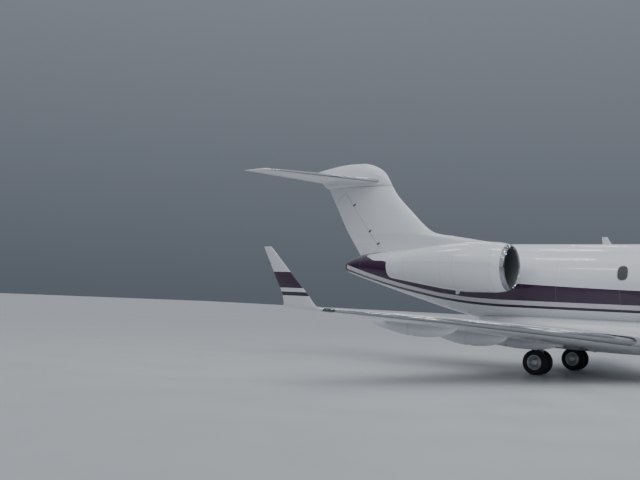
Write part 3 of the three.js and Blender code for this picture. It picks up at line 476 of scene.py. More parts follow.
def copy_of(obj, name):
    twin = obj.copy()
    twin.data = obj.data.copy()
    twin.name = name
    twin.data.name = name
    scene.collection.objects.link(twin)
    return twin


def keep_largest(obj):
    """Deletes the slivers that a cut can leave beside the main body."""
    bm = bmesh.new()
    bm.from_mesh(obj.data)
    left = set(bm.verts)
    islands = []
    while left:
        island = {left.pop()}
        edge = set(island)
        while edge:
            edge = {link.other_vert(vert) for vert in edge for link in vert.link_edges} - island
            island |= edge
        left -= island
        islands.append(island)
    islands.sort(key=len)
    for island in islands[:-1]:
        bmesh.ops.delete(bm, geom=list(island), context="VERTS")
    bm.to_mesh(obj.data)
    bm.free()
    return obj


# %% [markdown]
# A finished piece gets smooth shading with crisp edges, the body that it moves with and the coarse
# solids that it stands for. Most of the jet is symmetrical, so a left piece also gives the right one.

# %% Dressing
SLOTS = {  # the record's slot for the first finish of a piece
    "polished": "polished_metal",
    "steel": "polished_metal",
    "chromed": "polished_metal",
    "fan": "engine_metal",
    "heat": "engine_metal",
    "gear": "gear_paint",
    "wheel": "gear_paint",
    "tyre": "tyre",
    "seal": "tyre",
    "dark_window": "window_glass",
    "lamp": "window_glass",
    "red_lamp": "window_glass",
}


def finish_faces(obj, material, test):
    """Gives a finish to the faces that pass a test of their middle and normal."""
    obj.data.materials.append(material)
    index = len(obj.data.materials) - 1
    for face in obj.data.polygons:
        if test(face.center, face.normal):
            face.material_index = index


def slot_of(obj):
    finish = obj.data.materials[0].name
    return next((slot for start, slot in SLOTS.items() if finish.startswith(start)), "airframe_paint")


def dress(obj, body, *replaced, sharp=35.0, name=None):
    """Smooth shading with crisp edges, a body to ride on, and the solids that the piece stands for."""
    if name:
        obj.name = name
        obj.data.name = name
    obj.data.shade_smooth()
    obj.data.set_sharp_from_angle(angle=math.radians(sharp))
    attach(obj, body)
    slot_of(obj)
    if replaced:
        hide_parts(*replaced)


def mirrored(obj, name):
    """The same piece on the other side of the jet, with its faces turned the right way again."""
    twin = copy_of(obj, name)
    bm = bmesh.new()
    bm.from_mesh(twin.data)
    bmesh.ops.scale(bm, vec=(1, -1, 1), verts=bm.verts)
    bmesh.ops.reverse_faces(bm, faces=bm.faces)
    bm.to_mesh(twin.data)
    bm.free()
    return twin


def dress_pair(obj, name, body=None, replaced=None, finish=None):
    """A left piece and its mirror image; body and replaced are names that take the side's ending."""
    if finish:
        obj.data.materials.append(finish)
    twin = mirrored(obj, name + "_right")
    for side, one in (("_left", obj), ("_right", twin)):
        nodes = [replaced + side] if replaced else []
        dress(one, body + side if body else "airframe", *nodes, name=name + side)
    return twin


# %% [markdown]
# A jet's paint is white enamel under a clear, very glossy coat. Along the fuselage runs a broad dark
# plum band that sweeps up to the tail cone, with a silver stripe and a fine dark line beneath it.
# The edges of the band are drawn lines over the length of the jet, so a curve node holds each one.

# %% Fuselage paint
WHITE = (0.74, 0.755, 0.79)
PLUM = (0.030, 0.002, 0.034)
SILVER = (0.60, 0.58, 0.62)
LINE_DARK = (0.012, 0.008, 0.018)
PAINT_ROUGHNESS = 0.22
PAINT_EDGE = 0.002
LIVERY_SPAN = (-8.7, 10.5)
LIVERY_HEIGHTS = (1.0, 3.6)
BAND_TOP = [
    (-8.70, 3.42), (-7.95, 3.40), (-7.82, 3.21), (-7.62, 3.14), (-7.38, 3.06), (-7.06, 3.05),
    (-6.7, 2.95), (-5.6, 2.70), (-3.6, 2.50), (-1.0, 2.38), (3.0, 2.30), (6.5, 2.27), (8.6, 2.24),
    (9.6, 2.20), (10.5, 2.14),
]
BAND_FOOT = [
    (-8.70, 2.95), (-8.45, 2.885), (-8.01, 2.765), (-7.49, 2.63), (-6.99, 2.51), (-6.62, 2.426),
    (-6.15, 2.33), (-5.69, 2.247), (-5.24, 2.17), (-4.81, 2.10), (-4.39, 2.058), (-3.98, 2.018),
    (-3.59, 1.992), (-2.83, 1.965), (3.0, 1.95), (6.5, 1.99), (8.6, 2.09), (9.6, 2.13), (10.5, 2.14),
]
FINE_LINE = [
    (-8.70, 2.78), (-8.33, 2.685), (-7.81, 2.541), (-7.31, 2.419), (-6.69, 2.281), (-6.22, 2.185),
    (-5.75, 2.103), (-5.30, 2.027), (-4.86, 1.959), (-4.44, 1.908), (-4.02, 1.866), (-3.62, 1.838),
    (-3.24, 1.818), (-2.68, 1.803), (3.0, 1.79), (6.5, 1.83), (8.6, 1.98), (9.6, 2.05), (10.5, 2.10),
]
FINE_LINE_HALF = 0.035
FRAME_SPACING = 1.7
FRAME_START = -6.3
CROWN_SEAM = 3.34
TAIL_RING = -8.602  # the tail cone's end is dark behind this
HULL_HATCHES = [
    # middle along the jet, middle height, half length, half height, side (0 is both)
    (1.40, 2.76, 0.27, 0.43, 0),  # the exit over the wing, round a cabin window
    (-2.60, 2.12, 0.38, 0.36, 1),  # the baggage door
    (-4.20, 1.78, 0.30, 0.22, -1),  # a service hatch under the tail
]


def paint_base(name, colour=WHITE):
    """White enamel under a clear coat, with the slight unevenness of sprayed paint."""
    finish = Finish(name, colour, PAINT_ROUGHNESS)
    cloud = finish.noise(0.8, 3.0)
    gloss = finish.ramp(cloud, 0.3, 0.7, PAINT_ROUGHNESS * 0.8, PAINT_ROUGHNESS * 1.25)
    finish.set("Roughness", gloss)
    finish.shader.inputs["Coat Weight"].default_value = 0.6
    finish.shader.inputs["Coat Roughness"].default_value = 0.06
    finish.bump(finish.noise(180, 2.0), 0.0003, 0.12)
    tint = tuple(channel * 0.94 for channel in colour)
    return finish, finish.mix(cloud, tint, colour)


def hull_paint():
    finish, white = paint_base("hull_paint")
    drawn = (BAND_TOP, BAND_FOOT, FINE_LINE)
    top, foot, line = (finish.curve(finish.x, row, LIVERY_SPAN, LIVERY_HEIGHTS) for row in drawn)

    def over(high, low):
        return finish.ramp(finish.minus(high, low), -PAINT_EDGE, PAINT_EDGE)

    silver = finish.both(over(foot, finish.z), over(finish.z, line))
    plum = finish.both(over(finish.z, foot), over(top, finish.z))
    fine = finish.near(finish.z, line, FINE_LINE_HALF)
    colour = finish.mix(plum, finish.mix(silver, white, SILVER), PLUM)
    colour = finish.mix(fine, colour, LINE_DARK)
    frames = finish.math("PINGPONG", finish.minus(finish.x, FRAME_START), FRAME_SPACING / 2)
    colour = finish.joints(colour, 0.45, finish.seam(frames, 0.0), finish.seam(finish.z, CROWN_SEAM))
    colour = finish.joints(colour, 0.6, *(finish.frame_line(*row) for row in HULL_HATCHES))
    tip = finish.ramp(finish.x, TAIL_RING - 0.003, TAIL_RING, 1.0, 0.0)
    finish.set("Base Color", finish.mix(tip, colour, LINE_DARK))
    return finish.material


HULL_PAINT = hull_paint()
print("edges drawn", len(BAND_TOP) + len(BAND_FOOT) + len(FINE_LINE))

# %% [markdown]
# The wings, the winglets and the tail are white, with fine joints where panels meet. Painted shade
# darkens the gaps along the rudder's hinge line and under its foot, painted shadows lie beside the
# rudder's hinge covers, and two bands cross each winglet.

# %% Paint of the wings and the tail
# painted shade: the near black of the gaps round the rudder and of the shadows beside its hinge covers
GAP_SHADE_COLOUR = (0.05, 0.05, 0.055)
FIN_JOINT = (3.62, SEAM_HALF, -6.5, 2.1)  # height, half width, middle and half length
RUDDER_FOOT = (1.19, 3.49)  # station and height of a point on the rudder's hinge line
RUDDER_LEAN = 0.75
RUDDER_LINE = RUDDER_FOOT[0] + RUDDER_LEAN * RUDDER_FOOT[1] - MIDDLE  # x plus the leant height
# painted shade along the rudder's hinge gap, and painted shadow in the gap under the rudder's foot
RUDDER_GAP_SHADE = (RUDDER_LINE, 0.006, 4.415, 0.9)
TAIL_SLOPE = 0.115  # of the gap under the rudder's foot
FOOT_SHADOW_LINE = (4.196, 0.010, 1.08 - MIDDLE, 0.16)
HINGE_HEIGHTS = (4.91, 4.04, 3.63)  # of the rudder's hinges, each under a cover on the fin
# the painted shadow beside each hinge cover
HINGE_SHADOW = {"ahead": 0.058, "half": 0.050, "half_height": 0.028, "rise": 0.5, "soft": 0.006}
SPOILER_SLOPE = 0.278
SPOILER_CHORD = 0.34
SPOILER_LINES = (-0.86, -0.86 + SPOILER_CHORD)
SPOILER_SPAN = (5.7, 1.3)  # middle and half length
SPOILER_ENDS = (4.4, 5.7, 7.0)
RIB_JOINTS = (3.9, 7.22)
WING_TOP = (0.069, 0.892, 0.896)  # slope of the upper skin, and where its joints fade in
WINGLET_BANDS = [(2.084, 0.156, PLUM), (1.812, 0.037, LINE_DARK)]  # height, half height and colour
BELLY_SEAMS = [  # axis across the seam, its place and its two ends
    ("x", 6.2 - MIDDLE, 0.6, 1.6),
    ("x", 9.2 - MIDDLE, 0.6, 1.6),
    ("z", 0.95, -3.0, 3.2),
]
PYLON_SEAM = ("x", 4.6 - MIDDLE, 2.5, 3.2)


def white_paint(name, *seams):
    """White enamel with fine joints between panels."""
    finish, colour = paint_base(name)
    masks = []
    for axis, place, start, end in seams:
        across, along = (finish.x, finish.z) if axis == "x" else (finish.z, finish.x)
        reach = ((start + end) / 2, (end - start) / 2)
        masks.append(finish.stroke(across, along, place, SEAM_HALF, *reach))
    finish.set("Base Color", finish.joints(colour, 0.5, *masks))
    return finish.material


def hinge_shadow(finish, height):
    """A painted shadow: a dark slanting patch beside a hinge cover, ahead of the rudder's hinge line.
    """
    soft = HINGE_SHADOW["soft"]
    ahead = finish.minus(finish.x, RUDDER_LINE - RUDDER_LEAN * height + HINGE_SHADOW["ahead"])
    above = finish.minus(finish.minus(finish.z, height), finish.times(ahead, HINGE_SHADOW["rise"]))
    inside = finish.near(ahead, 0.0, HINGE_SHADOW["half"], soft)
    return finish.both(inside, finish.near(above, 0.0, HINGE_SHADOW["half_height"], soft))


def tail_paint():
    """White with the root's joint, and painted shade in the gap along the rudder's hinge line, in the
    gap under its foot and beside each hinge cover.
    """
    finish, colour = paint_base("tail_paint")
    leaning = finish.plus(finish.x, finish.times(finish.z, RUDDER_LEAN))
    # painted shade in the rudder's hinge gap, and painted shadow in the gap under its foot
    gap = finish.stroke(leaning, finish.z, *RUDDER_GAP_SHADE)
    over_tail = finish.minus(finish.z, finish.times(finish.x, TAIL_SLOPE))
    foot = finish.stroke(over_tail, finish.x, *FOOT_SHADOW_LINE)
    colour = finish.joints(colour, 0.4, finish.stroke(finish.z, finish.x, *FIN_JOINT))
    # painted shadows beside the hinge covers
    slots = [hinge_shadow(finish, height) for height in HINGE_HEIGHTS]
    dark = finish.either(finish.times(gap, 0.8), foot, *slots)
    finish.set("Base Color", finish.mix(dark, colour, GAP_SHADE_COLOUR))
    return finish.material


def wing_paint():
    """White with the outlines of the spoilers ahead of the outboard flap and the joints of the ribs."""
    finish, colour = paint_base("wing_paint")
    outboard = finish.math("ABSOLUTE", finish.y)
    swept = finish.plus(finish.x, finish.times(outboard, SPOILER_SLOPE))
    inside = finish.near(swept, sum(SPOILER_LINES) / 2, SPOILER_CHORD / 2)
    masks = [finish.stroke(swept, outboard, line, SEAM_HALF, *SPOILER_SPAN) for line in SPOILER_LINES]
    masks += [finish.both(finish.seam(outboard, end), inside) for end in SPOILER_ENDS]
    masks += [finish.seam(outboard, place) for place in RIB_JOINTS]
    slope, low, high = WING_TOP
    above = finish.ramp(finish.minus(finish.z, finish.times(outboard, slope)), low, high)
    colour = finish.joints(colour, 0.45, finish.both(finish.either(*masks), above))
    finish.set("Base Color", colour)
    return finish.material


def winglet_paint():
    """White with two bands across the blade, at heights above the ground."""
    finish, colour = paint_base("winglet_paint")
    for height, half, band in WINGLET_BANDS:
        colour = finish.mix(finish.near(finish.z, height, half), colour, band)
    finish.set("Base Color", colour)
    return finish.material


BELLY_PAINT = white_paint("belly_paint", *BELLY_SEAMS)
WING_PAINT = wing_paint()
WINGLET_PAINT = winglet_paint()
TAIL_PAINT = tail_paint()
print("hinge slots", len(HINGE_HEIGHTS))

# %% [markdown]
# The pods are white too, with joints where their cowls open and latches in a row under the keel. A
# white comma winds round each dark spinner, drawn as a spiral: its angle grows with the radius.

# %% Paint of the engines
ENGINE_Y, ENGINE_Z = 1.9, 2.835
POD_RINGS = (3.35, 4.62, 5.02, 6.12)  # stations of the joints round the cowl
POD_SPLIT = 2.90
POD_HATCH = (3.08, SEAM_HALF, 4.82 - MIDDLE, 0.2)
POD_KEEL = (2.40, 2.45)  # the latches fade out between these heights
LATCH_COLOUR = (0.22, 0.225, 0.235)
LATCH = {"spacing": 0.44, "half_length": 0.022, "half_width": 0.016}
SPINNER_GREY = (0.035, 0.036, 0.040)
COMMA = {"wind": 34.0, "arm": (0.72, 0.76), "outer": (0.118, 0.122), "inner": (0.018, 0.022)}


def pod_paint():
    """White with the joints of the cowl doors, the nozzle's ring and the split along the side."""
    finish, colour = paint_base("pod_paint")
    aft, *_, fore = POD_RINGS
    doors = finish.near(finish.x, (aft + fore) / 2 - MIDDLE, (fore - aft) / 2)
    rings = [finish.seam(finish.x, place - MIDDLE) for place in POD_RINGS]
    split = finish.both(finish.seam(finish.z, POD_SPLIT), doors)
    hatch = finish.stroke(finish.z, finish.x, *POD_HATCH)
    colour = finish.joints(colour, 0.55, *rings, split, hatch)
    across = finish.minus(finish.math("ABSOLUTE", finish.y), ENGINE_Y)
    keel = finish.both(doors, finish.ramp(finish.z, *POD_KEEL, 1.0, 0.0))
    wave = finish.math("PINGPONG", finish.x, LATCH["spacing"] / 2)
    spaced = finish.near(wave, 0.0, LATCH["half_length"])
    latches = finish.both(finish.near(across, 0.0, LATCH["half_width"]), spaced, keel)
    colour = finish.mix(finish.both(finish.seam(across, 0.0), keel), colour, SEAM_COLOUR)
    finish.set("Base Color", finish.mix(latches, colour, LATCH_COLOUR))
    return finish.material


def spinner_paint():
    """Dark grey with one white comma that winds round the cone."""
    finish, dark = paint_base("spinner_paint", SPINNER_GREY)
    across = finish.minus(finish.math("ABSOLUTE", finish.y), ENGINE_Y)
    up = finish.minus(finish.z, ENGINE_Z)
    radius = finish.math("SQRT", finish.plus(finish.times(across, across), finish.times(up, up)))
    turn = finish.plus(finish.math("ARCTAN2", up, across), finish.times(radius, COMMA["wind"]))
    arm = finish.ramp(finish.math("COSINE", turn), *COMMA["arm"])
    outside = finish.ramp(radius, *COMMA["inner"])
    inside = finish.both(finish.ramp(radius, *COMMA["outer"], 1.0, 0.0), outside)
    finish.set("Base Color", finish.mix(finish.both(arm, inside), dark, WHITE))
    return finish.material


POD_PAINT = pod_paint()
PYLON_PAINT = white_paint("pylon_paint", PYLON_SEAM)
SPINNER_PAINT = spinner_paint()
print("rings on a pod", len(POD_RINGS))

# %% [markdown]
# Bare and polished metal, glass and rubber finish the rest. Metal is never one flat grey: its colour
# and gloss drift a little over it, and it is duller where it gets hot.

# %% Metals, glass and rubber
MIRROR = {"metallic": 1.0, "grain": 1.5, "relief": 0.0}
POLISHED = plain_finish("polished_leading_edge", (0.44, 0.45, 0.47), 0.10, spread=0.06, **MIRROR)
# painted reflection: the lip's metal is darker than the leading edges', standing in for the dark
# surroundings that it reflects
LIP_METAL_PAINTED_DARK = plain_finish("polished_inlet_lip", (0.30, 0.31, 0.325), 0.12, spread=0.05, **MIRROR)
STEEL = plain_finish("steel", (0.42, 0.43, 0.45), 0.34, 1.0, grain=20.0)
CHROME = plain_finish("chromed_piston", (0.78, 0.79, 0.80), 0.08, 1.0, grain=30.0, spread=0.04)
TITANIUM = plain_finish("heat_tinted_titanium", (0.24, 0.21, 0.19), 0.40, 1.0, grain=7.0, spread=0.25)
# painted shade: the duct's grey liner is made near black, as the shade inside the inlet
DUCT_SHADE_GREY = plain_finish("duct_grey", (0.075, 0.080, 0.088), 0.45, 0.2, grain=9.0)
GEAR_PAINT = plain_finish("gear_enamel", (0.68, 0.69, 0.71), 0.35, grain=14.0, spread=0.08, coat=0.3)
RIM_METAL = plain_finish("wheel_alloy", (0.56, 0.57, 0.58), 0.38, 0.9, grain=25.0)
TYRE_RUBBER = plain_finish("tyre_rubber", (0.020, 0.020, 0.021), 0.78, grain=40.0, spread=0.3)
BLADE_METAL = plain_finish("fan_titanium", (0.52, 0.53, 0.55), 0.34, 0.8, grain=18.0, spread=0.1)
WINDOW_FRAME = plain_finish("window_frame", (0.50, 0.51, 0.53), 0.3, 0.6, grain=20.0)
TREAD = plain_finish("step_tread", (0.03, 0.03, 0.03), 0.9, grain=120.0, spread=0.4)
BLACK_RUBBER = plain_finish("seal_rubber", (0.012, 0.012, 0.013), 0.6, grain=60.0)
DARK_GAP = plain_finish("dark_inside", (0.03, 0.03, 0.032), 0.7, grain=15.0)
LINING = plain_finish("cabin_lining", (0.46, 0.41, 0.35), 0.75, grain=80.0, spread=0.1)
CARPET = plain_finish("carpet", (0.09, 0.075, 0.065), 0.95, grain=300.0, spread=0.5)
GLASS = plain_finish("dark_window", (0.008, 0.011, 0.016), 0.06, grain=2.0, spread=0.2, coat=1.0)
LAMP_GLASS = plain_finish("lamp_glass", (0.55, 0.57, 0.58), 0.05, 0.4, grain=30.0, coat=1.0)
RED_GLASS = plain_finish("red_lamp", (0.24, 0.012, 0.010), 0.08, grain=30.0, coat=1.0)
GREEN_GLASS = plain_finish("green_lamp", (0.006, 0.050, 0.028), 0.08, grain=30.0, coat=1.0)
print("finishes", len(bpy.data.materials))

# %% [markdown]
# The fuselage is one long shell of round frames. Its sections are told by four lines: how wide it is,
# and how high its top, its widest point and its keel lie at each station from the tail cone's tip.

# %% Fuselage sections
FUSELAGE = [
    # station, half width, top, widest height, bottom
    (0.0, 0.160, 3.030, 2.860, 2.695),
    (0.3, 0.270, 3.170, 2.850, 2.600),
    (1.0, 0.465, 3.310, 2.815, 2.395),
    (2.0, 0.700, 3.425, 2.740, 2.110),
    (3.0, 0.890, 3.505, 2.650, 1.840),
    (4.0, 1.030, 3.565, 2.560, 1.580),
    (5.0, 1.120, 3.600, 2.480, 1.370),
    (6.0, 1.165, 3.618, 2.435, 1.245),
    (7.0, 1.180, 3.620, 2.420, 1.200),
    (14.6, 1.180, 3.620, 2.420, 1.200),
    (15.6, 1.155, 3.600, 2.400, 1.212),
    (16.2, 1.110, 3.510, 2.370, 1.255),
    (16.7, 1.045, 3.320, 2.335, 1.315),
    (17.1, 0.965, 3.120, 2.300, 1.385),
    (17.5, 0.860, 2.950, 2.265, 1.475),
    (18.0, 0.695, 2.775, 2.225, 1.610),
    (18.5, 0.485, 2.570, 2.180, 1.785),
    (18.85, 0.290, 2.390, 2.150, 1.940),
    (19.02, 0.150, 2.265, 2.130, 2.035),
    (19.1, 0.012, 2.137, 2.125, 2.113),
]
RADOME_STATION = 17.95
HULL_AROUND = 96
HULL_STOPS = spread(0.0, 7.0, 36) + spread(7.4, 14.6, 18) + spread(14.7, RADOME_STATION, 40)
RADOME_STOPS = spread(RADOME_STATION + SEAM, 18.8, 16) + spread(18.83, 19.1, 12)


@functools.lru_cache(maxsize=None)
def hull_section(station):
    return row_at(FUSELAGE, station)


def hull_point(station, share, grow=0.0):
    half, top, widest, bottom = hull_section(station)
    angle = 2 * math.pi * share
    rise = (top - widest if math.sin(angle) > 0 else widest - bottom) + grow
    return at(station, (half + grow) * math.cos(angle), widest + rise * math.sin(angle))


def hull_half(station, height):
    """Half width of the hull at a station and a height."""
    half, top, widest, bottom = hull_section(station)
    reach = top - widest if height > widest else widest - bottom
    return half * math.sqrt(max(0, 1 - ((height - widest) / reach) ** 2))


def hull_solid(grow=0.0):
    """The hull behind the radome as a solid, grown or shrunk by a distance."""

    def ring(station, share):
        return hull_point(station, share, grow)

    return piece(skin(HULL_AROUND, HULL_STOPS, ring), "hull")


hull = hull_solid()
hull_grown = hull_solid(SEAM)
radome = piece(skin(HULL_AROUND, RADOME_STOPS, hull_point), "radome", HULL_PAINT)
dress(radome, "airframe", "radome", sharp=50)
print("hull faces", len(hull.data.polygons))

# %% [markdown]
# Cockpit glass is flush with the skin and sits in a black seal, and each cabin window is a small oval
# pane, set back a little in a pale frame. All three kinds are cut the same way: a prism of the
# outline goes through the skin, and a slightly smaller hull inside it gives the pocket its floor.

# %% Windows
CENTRE_POST = 0.045
WINDOW_REACH = 1.3
COCKPIT = {
    "windscreen": [(17.62, 2.935), (16.99, 2.85), (16.5, 3.325), (16.6, 3.4), (17.0, 3.5), (17.8, 3.3)],
    "side_window": [(16.87, 2.835), (16.09, 2.745), (15.99, 2.85), (16.06, 3.18), (16.385, 3.3)],
}
COCKPIT_CORNER = 0.05
FRAME_FIT = 0.001  # a frame keeps this in its pocket, and under the skin
COCKPIT_GLAZING = {"low": CENTRE_POST, "recess": 0.002, "ring": 0.020, "depth": 0.024}
CABIN_GLAZING = {"low": 0.9, "recess": 0.008, "ring": 0.018, "depth": 0.014}
CABIN_STATIONS = [14.30, 13.45, 12.60, 11.75, 10.90, 10.05, 9.20]
CABIN_HEIGHT = 2.78
CABIN_HALF = (0.150, 0.205)
CABIN_SQUARENESS = 0.75


def shrunk(outline, amount):
    """An outline drawn in towards its middle by a distance."""
    middle = sum((Vector(point) for point in outline), Vector((0, 0))) / len(outline)
    arms = [Vector(point) - middle for point in outline]
    return [middle + arm * (1 - amount / arm.length) for arm in arms]


def oval(station, height, steps=40):
    points = []
    for i in range(steps):
        angle = 2 * math.pi * i / steps
        across = CABIN_HALF[0] * squared(math.cos(angle), CABIN_SQUARENESS)
        up = CABIN_HALF[1] * squared(math.sin(angle), CABIN_SQUARENESS)
        points.append((station + across, height + up))
    return points


def rounded(bm, geom, radius, segments, affect="EDGES"):
    bmesh.ops.bevel(
        bm, geom=geom, offset=radius, segments=segments, profile=0.5, affect=affect, material=-1
    )


def prisms(outlines, low, high, corner=0.0):
    """Side-view outlines as solids between two distances from the jet's middle."""
    bm = bmesh.new()
    for outline in outlines:
        face = bm.faces.new([bm.verts.new(at(x, low, z)) for x, z in outline])
        if corner:
            rounded(bm, list(face.verts), corner, 5, "VERTICES")
    made = bmesh.ops.extrude_face_region(bm, geom=bm.faces[:])
    moved = [item for item in made["geom"] if isinstance(item, bmesh.types.BMVert)]
    bmesh.ops.translate(bm, vec=(0, high - low, 0), verts=moved)
    bmesh.ops.recalc_face_normals(bm, faces=bm.faces)
    return piece(bm, "prisms")


def glaze(outlines, corner, low, recess, ring, depth):
    """A pocket's cutter, its ring-shaped frame and its pane, for the left side."""

    def cutter(inset):
        inner = [shrunk(outline, inset) for outline in outlines]
        return prisms(inner, low + inset, WINDOW_REACH, corner)

    def layer(inset, under):
        over_floor = ("-", hull_solid(-depth + SEAM))
        return carve(cutter(inset), ("&", hull_solid(-under)), over_floor)

    pocket = carve(cutter(0.0), ("-", hull_solid(-depth)))
    frame_ring = carve(layer(FRAME_FIT, FRAME_FIT), ("-", cutter(ring)))
    return pocket, frame_ring, layer(ring + SEAM, recess)


cockpit_pockets = []
for name, outline in COCKPIT.items():
    pocket, seal, pane = glaze([outline], COCKPIT_CORNER, **COCKPIT_GLAZING)
    cockpit_pockets += [pocket, mirrored(pocket, "pocket")]
    dress_pair(seal, name + "_seal", finish=BLACK_RUBBER)
    dress_pair(pane, name + "_glass", replaced=name, finish=GLASS)
cabin_outlines = [oval(station, CABIN_HEIGHT) for station in CABIN_STATIONS]
cabin_pocket, cabin_frame, cabin_pane = glaze(cabin_outlines, 0.0, **CABIN_GLAZING)
dress_pair(cabin_frame, "cabin_window_frames", finish=WINDOW_FRAME)
dress_pair(cabin_pane, "cabin_window_glass", finish=GLASS)
cabin_pockets = [cabin_pocket, mirrored(cabin_pocket, "pocket")]
print("cabin windows", 2 * len(CABIN_STATIONS))

# %% [markdown]
# The airstair door is a piece of the fuselage skin with steps on its inner face. It hangs on a long
# hinge at its sill, drops outwards, and lets people climb in. Door and doorway come from the same
# rounded outline, so the gap round the closed door is even.

# %% Entry door and doorway
DOOR = {"aft": 15.130, "fore": 15.910, "sill": 1.560, "head": 3.290, "reach": 1.4}
DOOR_MIDDLE = (DOOR["aft"] + DOOR["fore"]) / 2
DOOR_CORNER = 0.11
DOOR_HINGE = (0.854, 1.578)  # distance from the jet's middle and height, as y and z
DOOR_SKIN = 0.09
VESTIBULE_Y = -0.25
BARREL = 0.018
HINGE_PIN = 0.009
HINGE_HALF = {"barrel": 0.26, "lug": 0.262, "pin": 0.312, "lug_end": 0.32}
STEPS = {
    "count": 4,
    "depth": 0.210,
    "thickness": 0.026,
    "first": 0.260,
    "rise": 0.330,
    "side": 0.09,
    "root": 0.03,
    "corner": 0.011,
}


def rounded_box(low, high, radius, axis, segments=8):
    """A box whose four edges along one axis are rounded."""
    bm = box_mesh(low, high)
    bm.edges.ensure_lookup_table()
    along = [e for e in bm.edges if abs((e.verts[1].co - e.verts[0].co).normalized()[axis]) > 0.99]
    rounded(bm, along, radius, segments)
    return piece(bm, "rounded")


def doorway(grow, inner):
    low = at(DOOR["aft"] - grow, inner, DOOR["sill"] - grow)
    high = at(DOOR["fore"] + grow, DOOR["reach"], DOOR["head"] + grow)
    return rounded_box(low, high, DOOR_CORNER + grow, 1)


def hinge_rod(start, end, radius):
    """A rod on the door's hinge line, between two distances from the door's middle."""
    a, b = (at(DOOR_MIDDLE + along, *DOOR_HINGE) for along in (start, end))
    return rod_tool(a, b, radius, sides=32)


def hinge_box(start, end, low, high):
    """A box beside the door's hinge line; low and high are y and z from that line."""
    y, z = DOOR_HINGE
    corners = ((start, low), (end, high))
    return box_tool(*(at(DOOR_MIDDLE + along, y + dy, z + dz) for along, (dy, dz) in corners))


def door_steps():
    for number in range(STEPS["count"]):
        z = DOOR["sill"] + STEPS["first"] + number * STEPS["rise"]
        wall = hull_half(DOOR_MIDDLE, z) - DOOR_SKIN
        low = at(DOOR["aft"] + STEPS["side"], wall - STEPS["depth"], z)
        high = at(DOOR["fore"] - STEPS["side"], wall + STEPS["root"], z + STEPS["thickness"])
        yield rounded_box(low, high, STEPS["corner"], 0, 4)


def door_solid():
    half = HINGE_HALF["barrel"]
    beyond = (DOOR["fore"] - DOOR["aft"]) / 2 + 0.05
    return carve(
        doorway(0.0, 0.3),
        ("&", hull_solid()),
        ("-", hull_solid(-DOOR_SKIN)),
        *(("+", step) for step in door_steps()),
        ("-", hinge_rod(-beyond, beyond, BARREL + RUN)),
        ("+", hinge_rod(-half, half, BARREL)),
        ("+", hinge_box(-half, half, (-0.012, 0), (0.012, 0.06))),
    )


def hinge_lugs():
    """The pin and the two lugs that carry the door, as parts of the hull."""
    parts = [hinge_rod(-HINGE_HALF["pin"], HINGE_HALF["pin"], HINGE_PIN)]
    start, end = HINGE_HALF["lug"], HINGE_HALF["lug_end"]
    for low, high in ((-end, -start), (start, end)):
        parts.append(hinge_box(low, high, (-0.016, -0.03), (-0.006, 0)))
        parts.append(hinge_box(low, high, (-0.07, -0.07), (-0.006, -0.026)))
        parts.append(hinge_rod(low, high, BARREL))
    return parts


def deep_inside(centre, distance):
    """Whether a point lies deeper in the hull than a distance."""
    half, top, widest, bottom = hull_section(round(centre.x + MIDDLE, 3))
    rise = (top - widest if centre.z > widest else widest - bottom) - distance
    return (centre.y / (half - distance)) ** 2 + ((centre.z - widest) / rise) ** 2 < 1


def door_inside(centre, normal):
    return deep_inside(centre, 0.004)


def step_top(centre, normal):
    return deep_inside(centre, DOOR_SKIN + 0.004) and normal.z > 0.7


door = keep_largest(door_solid())
door.data.materials.append(HULL_PAINT)
finish_faces(door, LINING, door_inside)
finish_faces(door, TREAD, step_top)
dress(door, "entry_door", "entry_door", name="entry_door_shell")
print("door faces", len(door.data.polygons))

# %% [markdown]
# Behind the door lies the vestibule, with a carpeted floor and pale lined walls. The same cuts make
# the nose gear's well and the recess of the exhaust at the tip of the tail cone.

# %% Fuselage
NOSE_WELL = {"aft": 15.45, "fore": 16.15, "half": 0.19, "roof": 1.48}
EXHAUST = {"outer": 0.118, "depth": 0.24, "height": 2.862}

fuselage = copy_of(hull, "fuselage_skin")
fuselage.data.materials.append(HULL_PAINT)
well_low = at(NOSE_WELL["aft"], -NOSE_WELL["half"], 0.9)
well_high = at(NOSE_WELL["fore"], NOSE_WELL["half"], NOSE_WELL["roof"])
recess_ends = [at(station, 0, EXHAUST["height"]) for station in (-0.1, EXHAUST["depth"])]
recess = rod_tool(*recess_ends, EXHAUST["outer"] + 0.001)
carve(
    fuselage,
    ("-", doorway(RUN, VESTIBULE_Y)),
    *(("+", part) for part in hinge_lugs()),
    ("-", box_tool(well_low, well_high)),
    ("-", recess),
    *(("-", pocket) for pocket in cockpit_pockets + cabin_pockets),
)
keep_largest(fuselage)


def in_doorway(centre, normal):
    if not DOOR["aft"] - 0.01 < centre.x + MIDDLE < DOOR["fore"] + 0.01:
        return False
    inside = centre.y > VESTIBULE_Y - 0.01 and centre.z > DOOR["sill"] - 0.1
    return inside and deep_inside(centre, 0.003)


def doorway_floor(centre, normal):
    return in_doorway(centre, normal) and normal.z > 0.9


def in_window_pocket(centre, normal):
    return centre.z > 2.5 and deep_inside(centre, 0.012) and not in_doorway(centre, normal)


def in_nose_well(centre, normal):
    return centre.z < 1.5 and abs(centre.y) < 0.2 and deep_inside(centre, 0.01)


def in_recess(centre, normal):
    return centre.x < 0.26 - MIDDLE and deep_inside(centre, 0.01)


finish_faces(fuselage, LINING, in_doorway)
finish_faces(fuselage, CARPET, doorway_floor)
finish_faces(fuselage, BLACK_RUBBER, in_window_pocket)
finish_faces(fuselage, GEAR_PAINT, in_nose_well)
finish_faces(fuselage, DARK_GAP, in_recess)
dress(fuselage, "airframe", "fuselage")
print("fuselage faces", len(fuselage.data.polygons))

